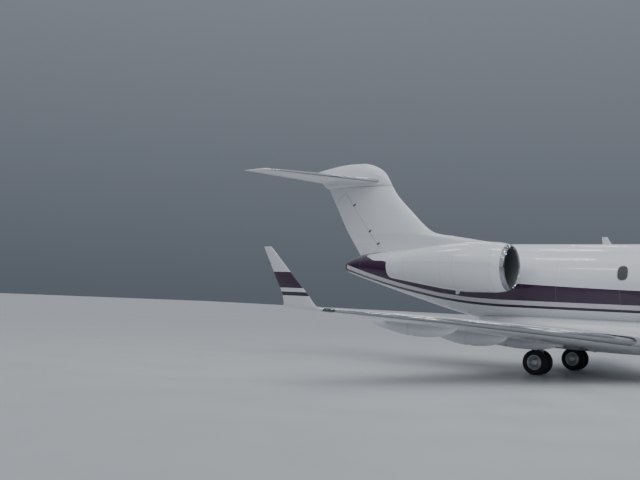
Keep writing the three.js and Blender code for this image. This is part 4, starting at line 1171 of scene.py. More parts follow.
# %% [markdown]
# The belly fairing smooths the join between the round fuselage and the flat wing beneath it. Its
# sections are squarer than an ellipse, which a power below one on the sine and cosine gives.

# %% Belly fairing
FAIRING = [
    # station, half width, top, bottom
    (4.9, 0.380, 1.500, 1.330),
    (5.3, 0.800, 1.520, 1.150),
    (5.9, 1.120, 1.540, 0.880),
    (6.8, 1.330, 1.560, 0.700),
    (9.5, 1.350, 1.560, 0.655),
    (10.7, 1.270, 1.530, 0.730),
    (11.7, 1.010, 1.480, 0.930),
    (12.3, 0.640, 1.440, 1.110),
    (12.7, 0.300, 1.400, 1.190),
]
FAIRING_SQUARENESS = 0.6


def fairing_solid(grow=0.0):
    def ring(station, share):
        half, top, bottom = row_at(FAIRING, station)
        angle = 2 * math.pi * share
        across = (half + grow) * squared(math.cos(angle), FAIRING_SQUARENESS)
        rise = ((top - bottom) / 2 + grow) * squared(math.sin(angle), FAIRING_SQUARENESS)
        return at(station, across, (top + bottom) / 2 + rise)

    return piece(skin(80, spread(4.9, 12.7, 78), ring), "fairing")


fairing = keep_largest(carve(fairing_solid(), ("-", hull_grown), keep=(hull_grown,)))
fairing.data.materials.append(BELLY_PAINT)
fairing_grown = fairing_solid(SEAM)
dress(fairing, "airframe", "belly_fairing", name="belly_fairing_skin")
print("fairing faces", len(fairing.data.polygons))

# %% [markdown]
# Wings, fin and tailplane share one section, the symmetrical aerofoil of a textbook: a round nose,
# its thickest place about a third of the way back, and a thin trailing edge. A skin needs only the
# leading edge, the trailing edge and the thickness at each stop along the span.

# %% Aerofoil
AEROFOIL_AROUND = 49
TRAILING_HALF = 0.012
THICKNESS_TERMS = (0.2969, -0.126, -0.3516, 0.2843, -0.1036)


def aerofoil_half(u):
    """Half the thickness at a share of the chord, for unit thickness."""
    root, one, two, three, four = THICKNESS_TERMS
    return 5 * (root * math.sqrt(u) + one * u + two * u**2 + three * u**3 + four * u**4)


def aerofoil(share):
    """Chord share and height of the skin, from the trailing edge over the top to the nose and back."""
    last = share > 1 - 0.5 / AEROFOIL_AROUND
    along = 0.0 if last else share * AEROFOIL_AROUND / (AEROFOIL_AROUND - 1)
    u = (1 + math.cos(2 * math.pi * along)) / 2
    half = aerofoil_half(u) + TRAILING_HALF * u
    return u, half if along < 0.5 else -half


def foil(stops, place, *materials):
    """A solid wing-like form; place(stop) gives the two edges and the thickness, as vectors."""

    @functools.lru_cache(maxsize=None)
    def placed(stop):
        return place(stop)

    def ring(stop, share):
        u, v = aerofoil(share)
        lead, trail, thick = placed(stop)
        return lead.lerp(trail, u) + thick * v

    return piece(skin(AEROFOIL_AROUND, stops, ring), "foil", *materials)


# %% [markdown]
# A control surface has a round nose that turns in a round cove, on a pin at each end. Cutting the
# surface and its cove out of one solid wing, along one hinge line, keeps the skins in line when the
# surface is straight, and leaves room for the nose when it swings.

# %% Hinged surfaces
PIN_FIT = 0.0002
PIN_HOLE = 0.06  # depth, from each end of a surface
PIN_LENGTH = 0.055  # inside the surface
PIN_ROOT = 0.04  # inside the fixed part
CUT_MARGIN = 0.01
CUT_REACH = 0.5  # above and below the hinge line


def hinge_frame(a, b):
    """Axes on a hinge line: aft, up or outboard, and along it."""
    along = (b - a).normalized()
    aft = (Vector((-1, 0, 0)) + along * along.x).normalized()
    turn = Matrix((aft, along.cross(aft), along)).transposed().to_4x4()
    return Matrix.Translation(a) @ turn


def frame_rod(axes, start, end, radius, end_radius=None, sides=48):
    a, b = (axes @ Vector((0, 0, along)) for along in (start, end))
    return rod_tool(a, b, radius, end_radius, sides)


def plain_surface(body, a, b, form, clear_root=None):
    """Cuts a hinged surface out of a body, which is used up; gives the surface and the rest."""
    axes, span = hinge_frame(a, b), (b - a).length
    noses, chord, pin = form["noses"], form["chord"], form["pin"]

    def behind(low, high):
        return box_tool((0, -CUT_REACH, low), (chord, CUT_REACH, high), axes)

    surface = carve(
        copy_of(body, "surface"),
        ("&", carve(behind(0, span), ("+", frame_rod(axes, 0, span, *noses)))),
        *((("-", clear_root),) if clear_root else ()),
        ("-", frame_rod(axes, -CUT_MARGIN, PIN_HOLE, pin + PIN_FIT)),
        ("-", frame_rod(axes, span - PIN_HOLE, span + CUT_MARGIN, pin + PIN_FIT)),
    )
    carve(
        body,
        ("-", behind(-RUN, span + RUN)),
        ("-", frame_rod(axes, -RUN, span + RUN, noses[0] + RUN, noses[1] + RUN)),
        ("+", frame_rod(axes, -RUN - PIN_ROOT, PIN_LENGTH, pin)),
        ("+", frame_rod(axes, span - PIN_LENGTH, span + RUN + PIN_ROOT, pin)),
    )
    return keep_largest(surface), keep_largest(body)


# %% [markdown]
# The wing sweeps back and tapers in four straight stages, with long canoe-shaped fairings under it
# that cover the flap tracks. The flaps turn on pivots low down in these fairings, so that they move
# back as they droop. The leading edge is bare polished metal, heated against ice.

# %% Wing form
WING = [
    # y, leading edge, trailing edge, height of the leading edge, thickness, droop of the trailing edge
    (0.70, 10.690, 5.855, 1.000, 0.470, 0.090),
    (1.35, 10.335, 5.840, 1.005, 0.500, 0.080),
    (4.00, 8.886, 5.780, 1.190, 0.360, 0.040),
    (7.00, 7.245, 5.259, 1.385, 0.222, 0.018),
    (9.75, 5.740, 4.780, 1.525, 0.106, 0.006),
]
CANOES = [
    # y, tail, deepest station, nose, lowest height, half width
    (2.60, 5.480, 6.750, 8.050, 0.725, 0.125),
    (4.55, 5.400, 6.400, 7.500, 0.795, 0.120),
    (6.50, 4.900, 5.960, 7.120, 1.000, 0.105),
]
CANOE_ROOF = 0.06
METAL_EDGE = 0.04  # share of the chord
TIP_LENS = (9.5, 0.09)  # from this y on, and a share of the chord
LANDING_LIGHT = (1.8, 2.2)


def wing_row(y):
    return row_at(WING, y, straight_at)


def wing_place(y):
    lead, trail, z, thick, droop = wing_row(y)
    return at(lead, y, z), at(trail, y, z - droop), Vector((0, 0, thick))


def wing_underside(station, y):
    """Height of the lower skin, carried on level behind the trailing edge."""
    lead, trail, z, thick, droop = wing_row(y)
    u = min(max((lead - station) / (lead - trail), 0.02), 1.0)
    return z - droop * u - thick * aerofoil_half(u)


def canoe(y, tail, deepest, nose, low, half):
    def ring(stop, share):
        station = tail + (nose - tail) * (1 - math.cos(math.pi * stop)) / 2
        aft = station < deepest
        reach = (station - deepest) / ((tail if aft else nose) - deepest)
        fullness = math.sqrt(max(1 - reach**2, 0.0025)) ** (0.95 if aft else 1.1)
        roof = wing_underside(station, y) + CANOE_ROOF
        floor = roof - CANOE_ROOF - (wing_underside(deepest, y) - low) * fullness
        angle = 2 * math.pi * share
        across = half * fullness * math.cos(angle)
        return at(station, y + across, (roof + floor) / 2 + (roof - floor) / 2 * math.sin(angle))

    return piece(skin(32, spread(0.004, 0.996, 36), ring), "canoe")


wing_stops = spread(0.70, 1.35, 2) + spread(1.6, 4.0, 12)
wing_stops += spread(4.25, 7.0, 12) + spread(7.25, 9.75, 10)
wing = foil(wing_stops, wing_place, WING_PAINT)


def wing_share(centre):
    lead, trail, *_ = wing_row(centre.y)
    return (lead - MIDDLE - centre.x) / (lead - trail)


def near_leading_edge(centre, normal):
    return wing_share(centre) < METAL_EDGE


def in_tip_lens(centre, normal):
    return centre.y > TIP_LENS[0] and wing_share(centre) < TIP_LENS[1]


def in_landing_light(centre, normal):
    return near_leading_edge(centre, normal) and LANDING_LIGHT[0] < centre.y < LANDING_LIGHT[1]


finish_faces(wing, POLISHED, near_leading_edge)
finish_faces(wing, LAMP_GLASS, in_landing_light)
finish_faces(wing, RED_GLASS, in_tip_lens)
roots = (fairing_grown, hull_grown)
carve(wing, *(("+", canoe(*row)) for row in CANOES), *(("-", root) for root in roots), keep=roots)
keep_largest(wing)
print("wing faces", len(wing.data.polygons))

# %% [markdown]
# Two flaps and an aileron are cut out of each wing. A flap's lugs reach down to pins inside the
# track fairings. The foot of its nose is cut at a slant, so that it clears the wing as the flap
# swings down.

# %% Flaps and ailerons
PIVOT = {"ahead": 0.042, "lug": 0.030, "half": 0.030, "pin": 0.013, "clear": 0.009, "droop": 33}
PIVOT_RISE = 0.048
OUTER_FLAP = {"y": (4.20, 7.18), "share": 0.28}
INNER_FLAP = {"y": (1.62, 3.83), "share": 0.24}
AILERON = {"y": (7.30, 9.30), "share": 0.27, "noses": (0.060, 0.034), "chord": 0.7, "pin": 0.012}
FLAP_BOX = (-0.4, 1.1, 1.7)  # lowest, highest and furthest aft from the pivots


def flap_lead(y, share):
    lead, trail, *_ = wing_row(y)
    return trail + share * (lead - trail)


def pivot_line(share, y_low, y_high, z_low, z_high):
    low = at(flap_lead(y_low, share) + PIVOT["ahead"], y_low, z_low)
    high = at(flap_lead(y_high, share) + PIVOT["ahead"], y_high, z_high)

    def point(y):
        return low + (high - low) * ((y - y_low) / (y_high - y_low))

    return point


def dropped_flap(body, line, span_y, pivot_ys):
    """Cuts a flap on dropped pivots out of the wing, which keeps the pins."""
    a, b = (line(y) for y in span_y)
    axes, span = hinge_frame(a, b), (b - a).length
    down, up, aft = FLAP_BOX
    tilt = axes @ Matrix.Rotation(math.radians(PIVOT["droop"]), 4, "Z")
    ahead, lug, clear, pin = (PIVOT[key] for key in ("ahead", "lug", "clear", "pin"))
    slot = lug + clear
    flap_steps = [
        ("&", box_tool((ahead, down, 0), (aft, up, span), axes)),
        ("-", box_tool((-0.3, -0.4, -RUN), (ahead - 0.002, 0, span + RUN), tilt)),
    ]
    wing_steps = [("-", box_tool((ahead - RUN, down, -RUN), (aft + 0.5, up, span + RUN), axes))]
    for y in pivot_ys:
        place = (line(y) - a).length
        low, high = place - PIVOT["half"], place + PIVOT["half"]
        flap_steps += [
            ("+", frame_rod(axes, low, high, lug, sides=32)),
            ("+", box_tool((0, clear - lug, low), (ahead + 0.09, lug, high), axes)),
            ("-", frame_rod(axes, low - 0.001, high + 0.001, pin + PIN_FIT, sides=32)),
        ]
        wing_steps += [
            ("-", box_tool((-slot, -0.4, low - clear), (slot + 0.02, slot, high + clear), axes)),
            ("+", frame_rod(axes, low - 0.042, high + 0.042, pin, sides=32)),
        ]
    flap = carve(copy_of(body, "flap"), *flap_steps)
    return keep_largest(flap), keep_largest(carve(body, *wing_steps))


def aileron_hinge(y):
    lead, trail, z, thick, droop = wing_row(y)
    return at(flap_lead(y, AILERON["share"]), y, z - droop * (1 - AILERON["share"]))


lows = [row[4] + PIVOT_RISE for row in CANOES]
inner_line = pivot_line(INNER_FLAP["share"], CANOES[0][0], INNER_FLAP["y"][1], lows[0], lows[0] + 0.09)
outer_line = pivot_line(OUTER_FLAP["share"], CANOES[1][0], CANOES[2][0], lows[1], lows[2])
inner_flap, wing = dropped_flap(wing, inner_line, INNER_FLAP["y"], [CANOES[0][0]])
outer_flap, wing = dropped_flap(wing, outer_line, OUTER_FLAP["y"], [CANOES[1][0], CANOES[2][0]])
aileron_ends = [aileron_hinge(y) for y in AILERON["y"]]
aileron, wing = plain_surface(wing, *aileron_ends, AILERON)
wing_cutter = copy_of(wing, "wing_cutter")
right_wing = dress_pair(wing, "wing_skin", replaced="wing")
right_wing.data.materials[right_wing.data.materials.find(RED_GLASS.name)] = GREEN_GLASS
dress_pair(inner_flap, "inboard_flap_skin", "inboard_flap", "inboard_flap")
dress_pair(outer_flap, "outboard_flap_skin", "outboard_flap", "outboard_flap")
dress_pair(aileron, "aileron_skin", "aileron", "aileron")
print("flap faces", len(inner_flap.data.polygons), len(outer_flap.data.polygons))

# %% [markdown]
# The wing tip turns up into a winglet, through a smooth blend and then a straight blade that leans
# outwards. The section turns with it, so that its thickness always lies across the blade.

# %% Winglet
WINGLET = [
    # row, y, height, leading edge, trailing edge, thickness, lean in degrees
    (0, 9.7504, 1.525, 5.740, 4.780, 0.106, 0),
    (1, 9.830, 1.536, 5.712, 4.800, 0.098, 18),
    (2, 9.895, 1.575, 5.680, 4.862, 0.088, 42),
    (3, 9.935, 1.650, 5.625, 4.890, 0.078, 62),
    (4, 9.990, 1.790, 5.540, 4.893, 0.066, 68),
    (5, 10.120, 2.130, 5.280, 4.805, 0.050, 68),
    (6, 10.2698, 2.735, 4.772, 4.583, 0.030, 68),
]
TIP_DROOP = 0.006


def winglet_place(stop):
    y, z, lead, trail, thick, lean = row_at(WINGLET, stop)
    across = Vector((0, -math.sin(math.radians(lean)), math.cos(math.radians(lean))))
    return at(lead, y, z), at(trail, y, z - TIP_DROOP * max(0, 1 - stop)), across * thick


winglet = foil(spread(0, 4, 40) + spread(4.1, 6, 18), winglet_place, WINGLET_PAINT)
dress_pair(winglet, "winglet_skin", replaced="winglet")
print("winglet faces", len(winglet.data.polygons))

# %% [markdown]
# The fin starts as a long low fillet on the tail cone's back and sweeps up to carry the tailplane.
# The rudder is cut out of its rear, and the fairing on top hides the tailplane's own joint.

# %% Fin and rudder
FIN = [
    # height, leading edge, trailing edge, thickness
    (3.13, 5.810, 0.540, 0.244),
    (3.25, 5.700, 0.455, 0.250),
    (3.64, 5.350, 0.180, 0.270),
    (3.74, 4.650, 0.110, 0.285),
    (3.80, 4.250, 0.068, 0.300),
    (3.87, 3.790, 0.020, 0.315),
    (3.92, 3.400, -0.013, 0.325),
    (3.97, 3.180, -0.046, 0.330),
    (4.05, 3.010, -0.098, 0.330),
    (4.20, 2.800, -0.194, 0.325),
    (4.52, 2.460, -0.372, 0.312),
    (5.24, 1.740, -0.772, 0.280),
    (5.50, 1.560, -0.916, 0.268),
]
FIN_TOP = 5.5
RUDDER = {"z": (3.50, 5.33), "noses": (0.112, 0.082), "chord": 1.9, "pin": 0.016}
RUDDER_GAP = 0.025  # over the tail cone


def fin_place(z):
    lead, trail, thick = row_at(FIN, z)
    return at(lead, 0, z), at(trail, 0, z), Vector((0, thick, 0))


def rudder_hinge(z):
    return at(RUDDER_FOOT[0] - (z - RUDDER_FOOT[1]) * RUDDER_LEAN, 0, z)


fin_stops = spread(3.13, 3.6, 5) + spread(3.64, 4.2, 40) + spread(4.25, FIN_TOP, 18)
fin = foil(fin_stops, fin_place, TAIL_PAINT)
keep_largest(carve(fin, ("-", hull_grown), keep=(hull_grown,)))
rudder, fin = plain_surface(fin, *(rudder_hinge(z) for z in RUDDER["z"]), RUDDER)
keep_largest(carve(rudder, ("-", hull_solid(RUDDER_GAP))))
dress(fin, "airframe", "fin", name="fin_skin")
dress(rudder, "rudder", "rudder", name="rudder_skin")
print("fin faces", len(fin.data.polygons), "rudder faces", len(rudder.data.polygons))

# %% [markdown]
# The tailplane is one piece from tip to tip. An elevator is cut out of each half, and both leave room
# beside the fin cap, a smooth body that is flat underneath, where it stands on the fin.

# %% Tailplane, elevators and fin cap
TAILPLANE = [
    # y, leading edge, trailing edge, height, thickness
    (0.00, 1.220, -1.120, 5.690, 0.235),
    (3.40, -0.820, -1.800, 5.662, 0.088),
    (3.47, -1.000, -1.800, 5.661, 0.050),
]
ELEVATOR = {"y": (0.29, 3.25), "share": 0.3, "noses": (0.072, 0.028), "chord": 1.1, "pin": 0.011}
ROOT_CLEAR = 0.19  # from the middle to where an elevator can begin
CAP_SQUARENESS = (0.6, 0.45)  # below the middle, across and upwards
CAP = [
    # station, half width, top, bottom
    (-1.56, 0.012, 6.040, 6.000),
    (-1.40, 0.055, 6.085, 5.880),
    (-1.15, 0.092, 6.145, 5.670),
    (-0.93, 0.116, 6.185, 5.5004),
    (-0.45, 0.150, 6.262, 5.5004),
    (0.00, 0.172, 6.297, 5.5004),
    (0.45, 0.178, 6.297, 5.5004),
    (0.75, 0.172, 6.240, 5.5004),
    (1.05, 0.152, 6.115, 5.5004),
    (1.28, 0.120, 5.950, 5.5004),
    (1.42, 0.084, 5.750, 5.5004),
    (1.53, 0.040, 5.560, 5.5004),
]


def tailplane_row(y):
    return row_at(TAILPLANE, abs(y), straight_at)


def tailplane_place(grow=0.0):
    def place(y):
        lead, trail, z, thick = tailplane_row(y)
        return at(lead + grow, y, z), at(trail - grow, y, z), Vector((0, 0, thick + 2 * grow))

    return place


def elevator_hinge(y, side):
    lead, trail, z, thick = tailplane_row(y)
    return at(trail + ELEVATOR["share"] * (lead - trail), side * y, z)


def cap_ring(station, share):
    half, top, bottom = row_at(CAP, station)
    across, up = math.cos(2 * math.pi * share), math.sin(2 * math.pi * share)
    if up < 0:
        across, up = squared(across, CAP_SQUARENESS[0]), squared(up, CAP_SQUARENESS[1])
    return at(station, half * across, (top + bottom) / 2 + (top - bottom) / 2 * up)


half_stops = spread(0.2, 3.4, 26) + spread(3.41, 3.47, 5)
tail_stops = [-y for y in reversed(half_stops)] + [0.0] + half_stops
tailplane = foil(tail_stops, tailplane_place(), TAIL_PAINT)


def tail_edge(centre, normal):
    lead, trail, *_ = tailplane_row(centre.y)
    return (lead - MIDDLE - centre.x) / (lead - trail) < METAL_EDGE and abs(centre.y) < 3.4


finish_faces(tailplane, POLISHED, tail_edge)
for side, name in ((1, "left"), (-1, "right")):
    low, high = sorted((-0.7 * side, ROOT_CLEAR * side))
    root = box_tool((-12, low, 5), (-6, high, 6.5))
    hinges = [elevator_hinge(y, side) for y in ELEVATOR["y"]]
    elevator, tailplane = plain_surface(tailplane, *hinges, ELEVATOR, root)
    dress(elevator, "elevator_" + name, "elevator_" + name, name="elevator_skin_" + name)
dress(tailplane, "airframe", "tailplane", name="tailplane_skin")
cap = piece(skin(48, spread(-1.56, 1.53, 90), cap_ring), "fin_cap_skin", TAIL_PAINT)
carve(cap, ("-", foil([-1.7, 0.0, 1.7], tailplane_place(SEAM))))
dress(keep_largest(cap), "airframe", "fin_cap")
print("tailplane faces", len(tailplane.data.polygons), "cap faces", len(cap.data.polygons))

# %% [markdown]
# Engine pods are bodies of revolution: one profile, from the lip over the cowl to the nozzle and back
# inside along the duct, is spun about the engine's line. The lip ahead of the cowl is polished metal,
# painted darker than the leading edges as a painted reflection of dark surroundings, and the duct and
# the lip's inner face are painted near black as the shade inside the inlet.

# %% Engine pods
LIP_STATION = 6.385
LIP_FRONT = 6.50
LIP_RADIUS = 0.560
OUTER_COWL = [
    # station, radius
    (2.75, 0.370),
    (3.20, 0.440),
    (3.70, 0.520),
    (4.10, 0.582),
    (4.50, 0.640),
    (5.30, 0.703),
    (6.06, 0.692),
    (6.37, 0.642),
    (6.475, 0.597),
    (LIP_FRONT, LIP_RADIUS),
]
DUCT = [
    (2.75, 0.355),
    (3.20, 0.420),
    (3.70, 0.470),
    (5.50, 0.470),
    (6.16, 0.474),
    (6.42, 0.515),
    (LIP_FRONT, LIP_RADIUS),
]
# the inner face of the lip is painted with the duct's shade up to here
INNER_LIP_SHADE_UNTIL = 6.46
DUCT_MARGIN = 0.006
CORE = [
    (2.56, 0.0),
    (2.60, 0.060),
    (3.35, 0.235),
    (3.50, 0.290),
    (5.30, 0.300),
    (5.59, 0.170),
    (5.59, 0.0),
]
POD_AROUND = 96


def turned(profile, centre, axis, steps, *materials, closed=True):
    """Spins a profile of distances along an axis and radii; the axis is 0 for X and 1 for Y."""
    bm = bmesh.new()
    out = Vector((0, 0, 1))
    line = Vector((1, 0, 0)) if axis == 0 else Vector((0, 1, 0))
    verts = [bm.verts.new(centre + line * along + out * radius) for along, radius in profile]
    for pair in zip(verts, verts[1:] + ([verts[0]] if closed else [])):
        bm.edges.new(pair)
    bmesh.ops.spin(
        bm,
        geom=bm.verts[:] + bm.edges[:],
        cent=centre,
        axis=line,
        angle=2 * math.pi,
        steps=steps,
        use_merge=True,
    )
    bmesh.ops.remove_doubles(bm, verts=bm.verts, dist=1e-6)
    bmesh.ops.recalc_face_normals(bm, faces=bm.faces)
    return piece(bm, "turned", *materials)


engine_centre = at(0, ENGINE_Y, ENGINE_Z)
lip_stops = [6.39, 6.42, 6.445, 6.465, 6.48, 6.49, 6.497]
throat_stops = [6.32, 6.37, 6.41, 6.44, 6.465, 6.485]
cowl_line = [(x, smooth_at(OUTER_COWL, 1, x)) for x in spread(2.75, 6.36, 72) + lip_stops]
duct_line = [(x, smooth_at(DUCT, 1, x)) for x in spread(2.75, 6.26, 35) + throat_stops]
pod_profile = cowl_line + [(LIP_FRONT, LIP_RADIUS)] + duct_line[::-1]
lip_low, lip_high = at(LIP_STATION, 0.9, 1.9), at(6.8, 2.9, 3.8)


def inside_duct(centre, normal):
    radius = math.hypot(centre.y - ENGINE_Y, centre.z - ENGINE_Z)
    return radius < smooth_at(DUCT, 1, centre.x + MIDDLE) + DUCT_MARGIN


def inside_lip(centre, normal):
    return inside_duct(centre, normal) and centre.x + MIDDLE < INNER_LIP_SHADE_UNTIL


pod = turned(pod_profile, engine_centre, 0, POD_AROUND)
lip = carve(copy_of(pod, "lip"), ("&", box_tool(lip_low + Vector((SEAM, 0, 0)), lip_high)))
carve(pod, ("-", box_tool(lip_low, lip_high)))
pod.data.materials.append(POD_PAINT)
# painted reflection: darkened polished metal on the lip
lip.data.materials.append(LIP_METAL_PAINTED_DARK)
# painted shade inside the duct and on the inner face of the lip
finish_faces(pod, DUCT_SHADE_GREY, inside_duct)
finish_faces(lip, DUCT_SHADE_GREY, inside_lip)
dress_pair(pod, "pod_skin", replaced="nacelle")
dress_pair(lip, "polished_lip", replaced="inlet_lip")

core = turned(CORE, engine_centre, 0, 64, TITANIUM, closed=False)
dress_pair(core, "engine_core_skin", replaced="engine_core")
print("pod faces", len(pod.data.polygons))

# %% [markdown]
# Looking into the inlet, one sees the fan: twenty-four wide blades that twist from root to tip, round
# a pointed spinner with a white comma painted on it, so that people can see it turn.

# %% Fan
FAN = {"station": 5.69, "tip": 0.452, "root": 0.12, "blades": 24}
BLADE = {
    # at the root, and how much it changes on the way to the tip
    "thick": (0.008, -0.005),
    "twist": (0.50, 0.62),
    "chord": (0.078, 0.014),  # widest half way
    "camber": 0.05,
}
SPINNER = [
    (5.60, 0.0),
    (5.60, 0.150),
    (5.70, 0.151),
    (5.78, 0.144),
    (5.86, 0.123),
    (5.94, 0.088),
    (6.01, 0.042),
    (6.05, 0.0),
]


def blade(number):
    turn = Matrix.Rotation(2 * math.pi * number / FAN["blades"], 4, "X")

    def ring(stop, share):
        radius = FAN["root"] + (FAN["tip"] - FAN["root"]) * stop
        chord = BLADE["chord"][0] + BLADE["chord"][1] * math.sin(math.pi * stop)
        thick, twist = (BLADE[key][0] + BLADE[key][1] * stop for key in ("thick", "twist"))
        angle = 2 * math.pi * share
        along = chord * math.cos(angle)
        across = thick * math.sin(angle) + BLADE["camber"] * chord * math.cos(angle) ** 2
        cos, sin = math.cos(twist), math.sin(twist)
        local = Vector((along * cos - across * sin, along * sin + across * cos, radius))
        return engine_centre + Vector((FAN["station"], 0, 0)) + turn @ local

    return piece(skin(14, spread(0, 1, 10), ring), "blade", BLADE_METAL)


def join(objects, name):
    """Several pieces in one mesh."""
    bm = bmesh.new()
    for obj in objects:
        bm.from_mesh(obj.data)
    materials = objects[0].data.materials[:]
    for obj in objects:
        bpy.data.objects.remove(obj)
    return piece(bm, name, *materials)


fan_blades = join([blade(number) for number in range(FAN["blades"])], "fan_blades")
spinner = turned(SPINNER, engine_centre, 0, 64, SPINNER_PAINT, closed=False)
dress_pair(fan_blades, "fan_blades", "fan", "fan")
dress_pair(spinner, "spinner", "fan")
print("fan faces", len(fan_blades.data.polygons))

# %% [markdown]
# A short pylon carries each pod on the side of the hull. It is cut off by the hull at one end and by
# a pod without its duct at the other, each grown by the width of a seam.

# %% Pylon
PYLON = [
    # y, leading edge, trailing edge, height, thickness
    (0.30, 5.75, 2.70, 2.85, 0.250),
    (1.70, 5.45, 2.90, 2.85, 0.190),
]


def pylon_place(y):
    lead, trail, z, thick = row_at(PYLON, y, straight_at)
    return at(lead, y, z), at(trail, y, z), Vector((0, 0, thick))


filled = [(2.69, 0.0), (2.69, 0.37)] + [(x, r + SEAM) for x, r in cowl_line] + [(LIP_FRONT, 0.0)]
pod_grown = turned(filled, engine_centre, 0, POD_AROUND, closed=False)
pylon = foil(spread(0.3, 1.7, 14), pylon_place, PYLON_PAINT)
carve(pylon, ("-", hull_grown), ("-", pod_grown), keep=(hull_grown,))
dress_pair(keep_largest(pylon), "pylon_skin", replaced="pylon")
print("pylon faces", len(pylon.data.polygons))

# %% [markdown]
# An aircraft tyre is smooth on its sides and has only a few grooves round its tread, because it never
# grips through corners. The wheel inside it is a forged alloy disc with cooling holes and bolts.

# %% Wheels
WHEEL_SIZES = ("station", "y", "radius", "width", "rim", "apart", "axle")
MAIN = dict(zip(WHEEL_SIZES, (7.15, 1.55, 0.330525, 0.205, 0.19, 0.178, 0.04)))
NOSE = dict(zip(WHEEL_SIZES, (15.8, 0.0, 0.223619, 0.118, 0.12, 0.112, 0.024)))
TYRE_SECTION = [
    # share of half the width, share of the way from the rim to the tread
    (0.60, -0.02), (0.80, 0.0), (0.93, 0.08), (0.985, 0.22), (1.0, 0.42), (0.985, 0.62),
    (0.94, 0.78), (0.86, 0.90), (0.76, 0.965), (0.66, 0.99),
]
GROOVES = (0.50, 0.17)  # shares of half the width
GROOVE = [(0.042, 0), (0.03, 0.045), (-0.03, 0.045), (-0.042, 0)]  # across and deep, as shares
WHEEL_STEPS = 96
BOLTS = 9  # of a wheel, and as many holes between them
DISC_FACE = 0.55  # share of half the width


def tyre(wheel, centre):
    half, depth = wheel["width"] / 2, wheel["radius"] - wheel["rim"]
    tread = [(place + edge, 1.0 - drop) for place in GROOVES for edge, drop in GROOVE]
    one_side = TYRE_SECTION + tread
    section = one_side + [(-across, out) for across, out in reversed(one_side)]
    profile = [(across * half, wheel["rim"] + out * depth) for across, out in section]
    return turned(profile, centre, 1, WHEEL_STEPS, TYRE_RUBBER)


def polar_rod(centre, radius, angle, low, high, size, sides=20):
    """A rod along the axle's direction, at a radius and an angle round it."""
    place = centre + Vector((radius * math.sin(angle), 0, radius * math.cos(angle)))
    return rod_tool(place + Vector((0, low, 0)), place + Vector((0, high, 0)), size, sides=sides)


def rim_disc(wheel, centre, side):
    """One wheel's alloy: a bead flange, a well, and a dished disc on its outer side."""
    half, rim, hub = wheel["width"] / 2, wheel["rim"], wheel["axle"] * 1.9
    face = DISC_FACE * half
    profile = [
        (-0.90 * half, rim - 0.012),
        (-0.90 * half, rim + 0.006),
        (-0.62 * half, rim + 0.003),
        (-0.55 * half, rim - 0.018),
        (0.55 * half, rim - 0.018),
        (0.62 * half, rim + 0.003),
        (0.90 * half, rim + 0.006),
        (0.90 * half, rim - 0.010),
        (0.66 * half, rim - 0.030),
        (face - 0.022, rim * 0.72),
        (face - 0.012, hub * 1.35),
        (face + 0.022, hub),
        (face + 0.030, hub * 0.6),
        (face + 0.030, 0.0),
        (-0.60 * half, 0.0),
        (-0.60 * half, hub),
        (face - 0.052, hub * 1.4),
        (face - 0.050, rim * 0.72),
        (0.0, rim - 0.034),
        (-0.80 * half, rim - 0.028),
    ]
    section = [(side * along, radius) for along, radius in profile]
    disc = turned(section, centre, 1, WHEEL_STEPS, RIM_METAL)
    angles = [2 * math.pi * number / BOLTS for number in range(BOLTS)]
    holes = [polar_rod(centre, rim * 0.56, angle, -half, half, rim * 0.085) for angle in angles]
    return carve(disc, *(("-", hole) for hole in holes))


def wheel_bolts(wheel, centre, side):
    face = side * DISC_FACE * wheel["width"] / 2
    low, high = sorted((face - side * 0.03, face - side * 0.004))
    for number in range(BOLTS):
        angle = 2 * math.pi * (number + 0.5) / BOLTS
        yield polar_rod(centre, wheel["rim"] * 0.60, angle, low, high, wheel["rim"] * 0.032, 6)


def wheel_set(wheel, name):
    """The two tyres of a pair, and their discs and bolts on one axle."""
    centre = at(wheel["station"], wheel["y"], wheel["radius"])
    apart = Vector((0, wheel["apart"], 0))
    tyres, metal = [], []
    for side in (1, -1):
        place = centre + side * apart
        tyres.append(tyre(wheel, place))
        metal += [rim_disc(wheel, place, side), *wheel_bolts(wheel, place, side)]
    metal.append(rod_tool(centre - apart, centre + apart, wheel["axle"]))
    return join(tyres, name + "_tyres"), join(metal, name + "_rims")


main_tyres, main_rims = wheel_set(MAIN, "main")
dress_pair(main_tyres, "main_tyres", "main_wheels", "main_wheels")
dress_pair(main_rims, "main_rims", "main_wheels")
nose_tyres, nose_rims = wheel_set(NOSE, "nose")
dress(nose_tyres, "nose_wheels", "nose_wheels")
dress(nose_rims, "nose_wheels")
print("tyre faces", len(main_tyres.data.polygons))

# %% [markdown]
# Each main leg is a trailing link: an upright cylinder comes down from the wing, and a short arm
# swings back from it to the axle with a shock strut behind it. The nose leg is a plain telescopic
# strut, whose lower part turns for steering. The parts are rods of enamel, steel and chrome.

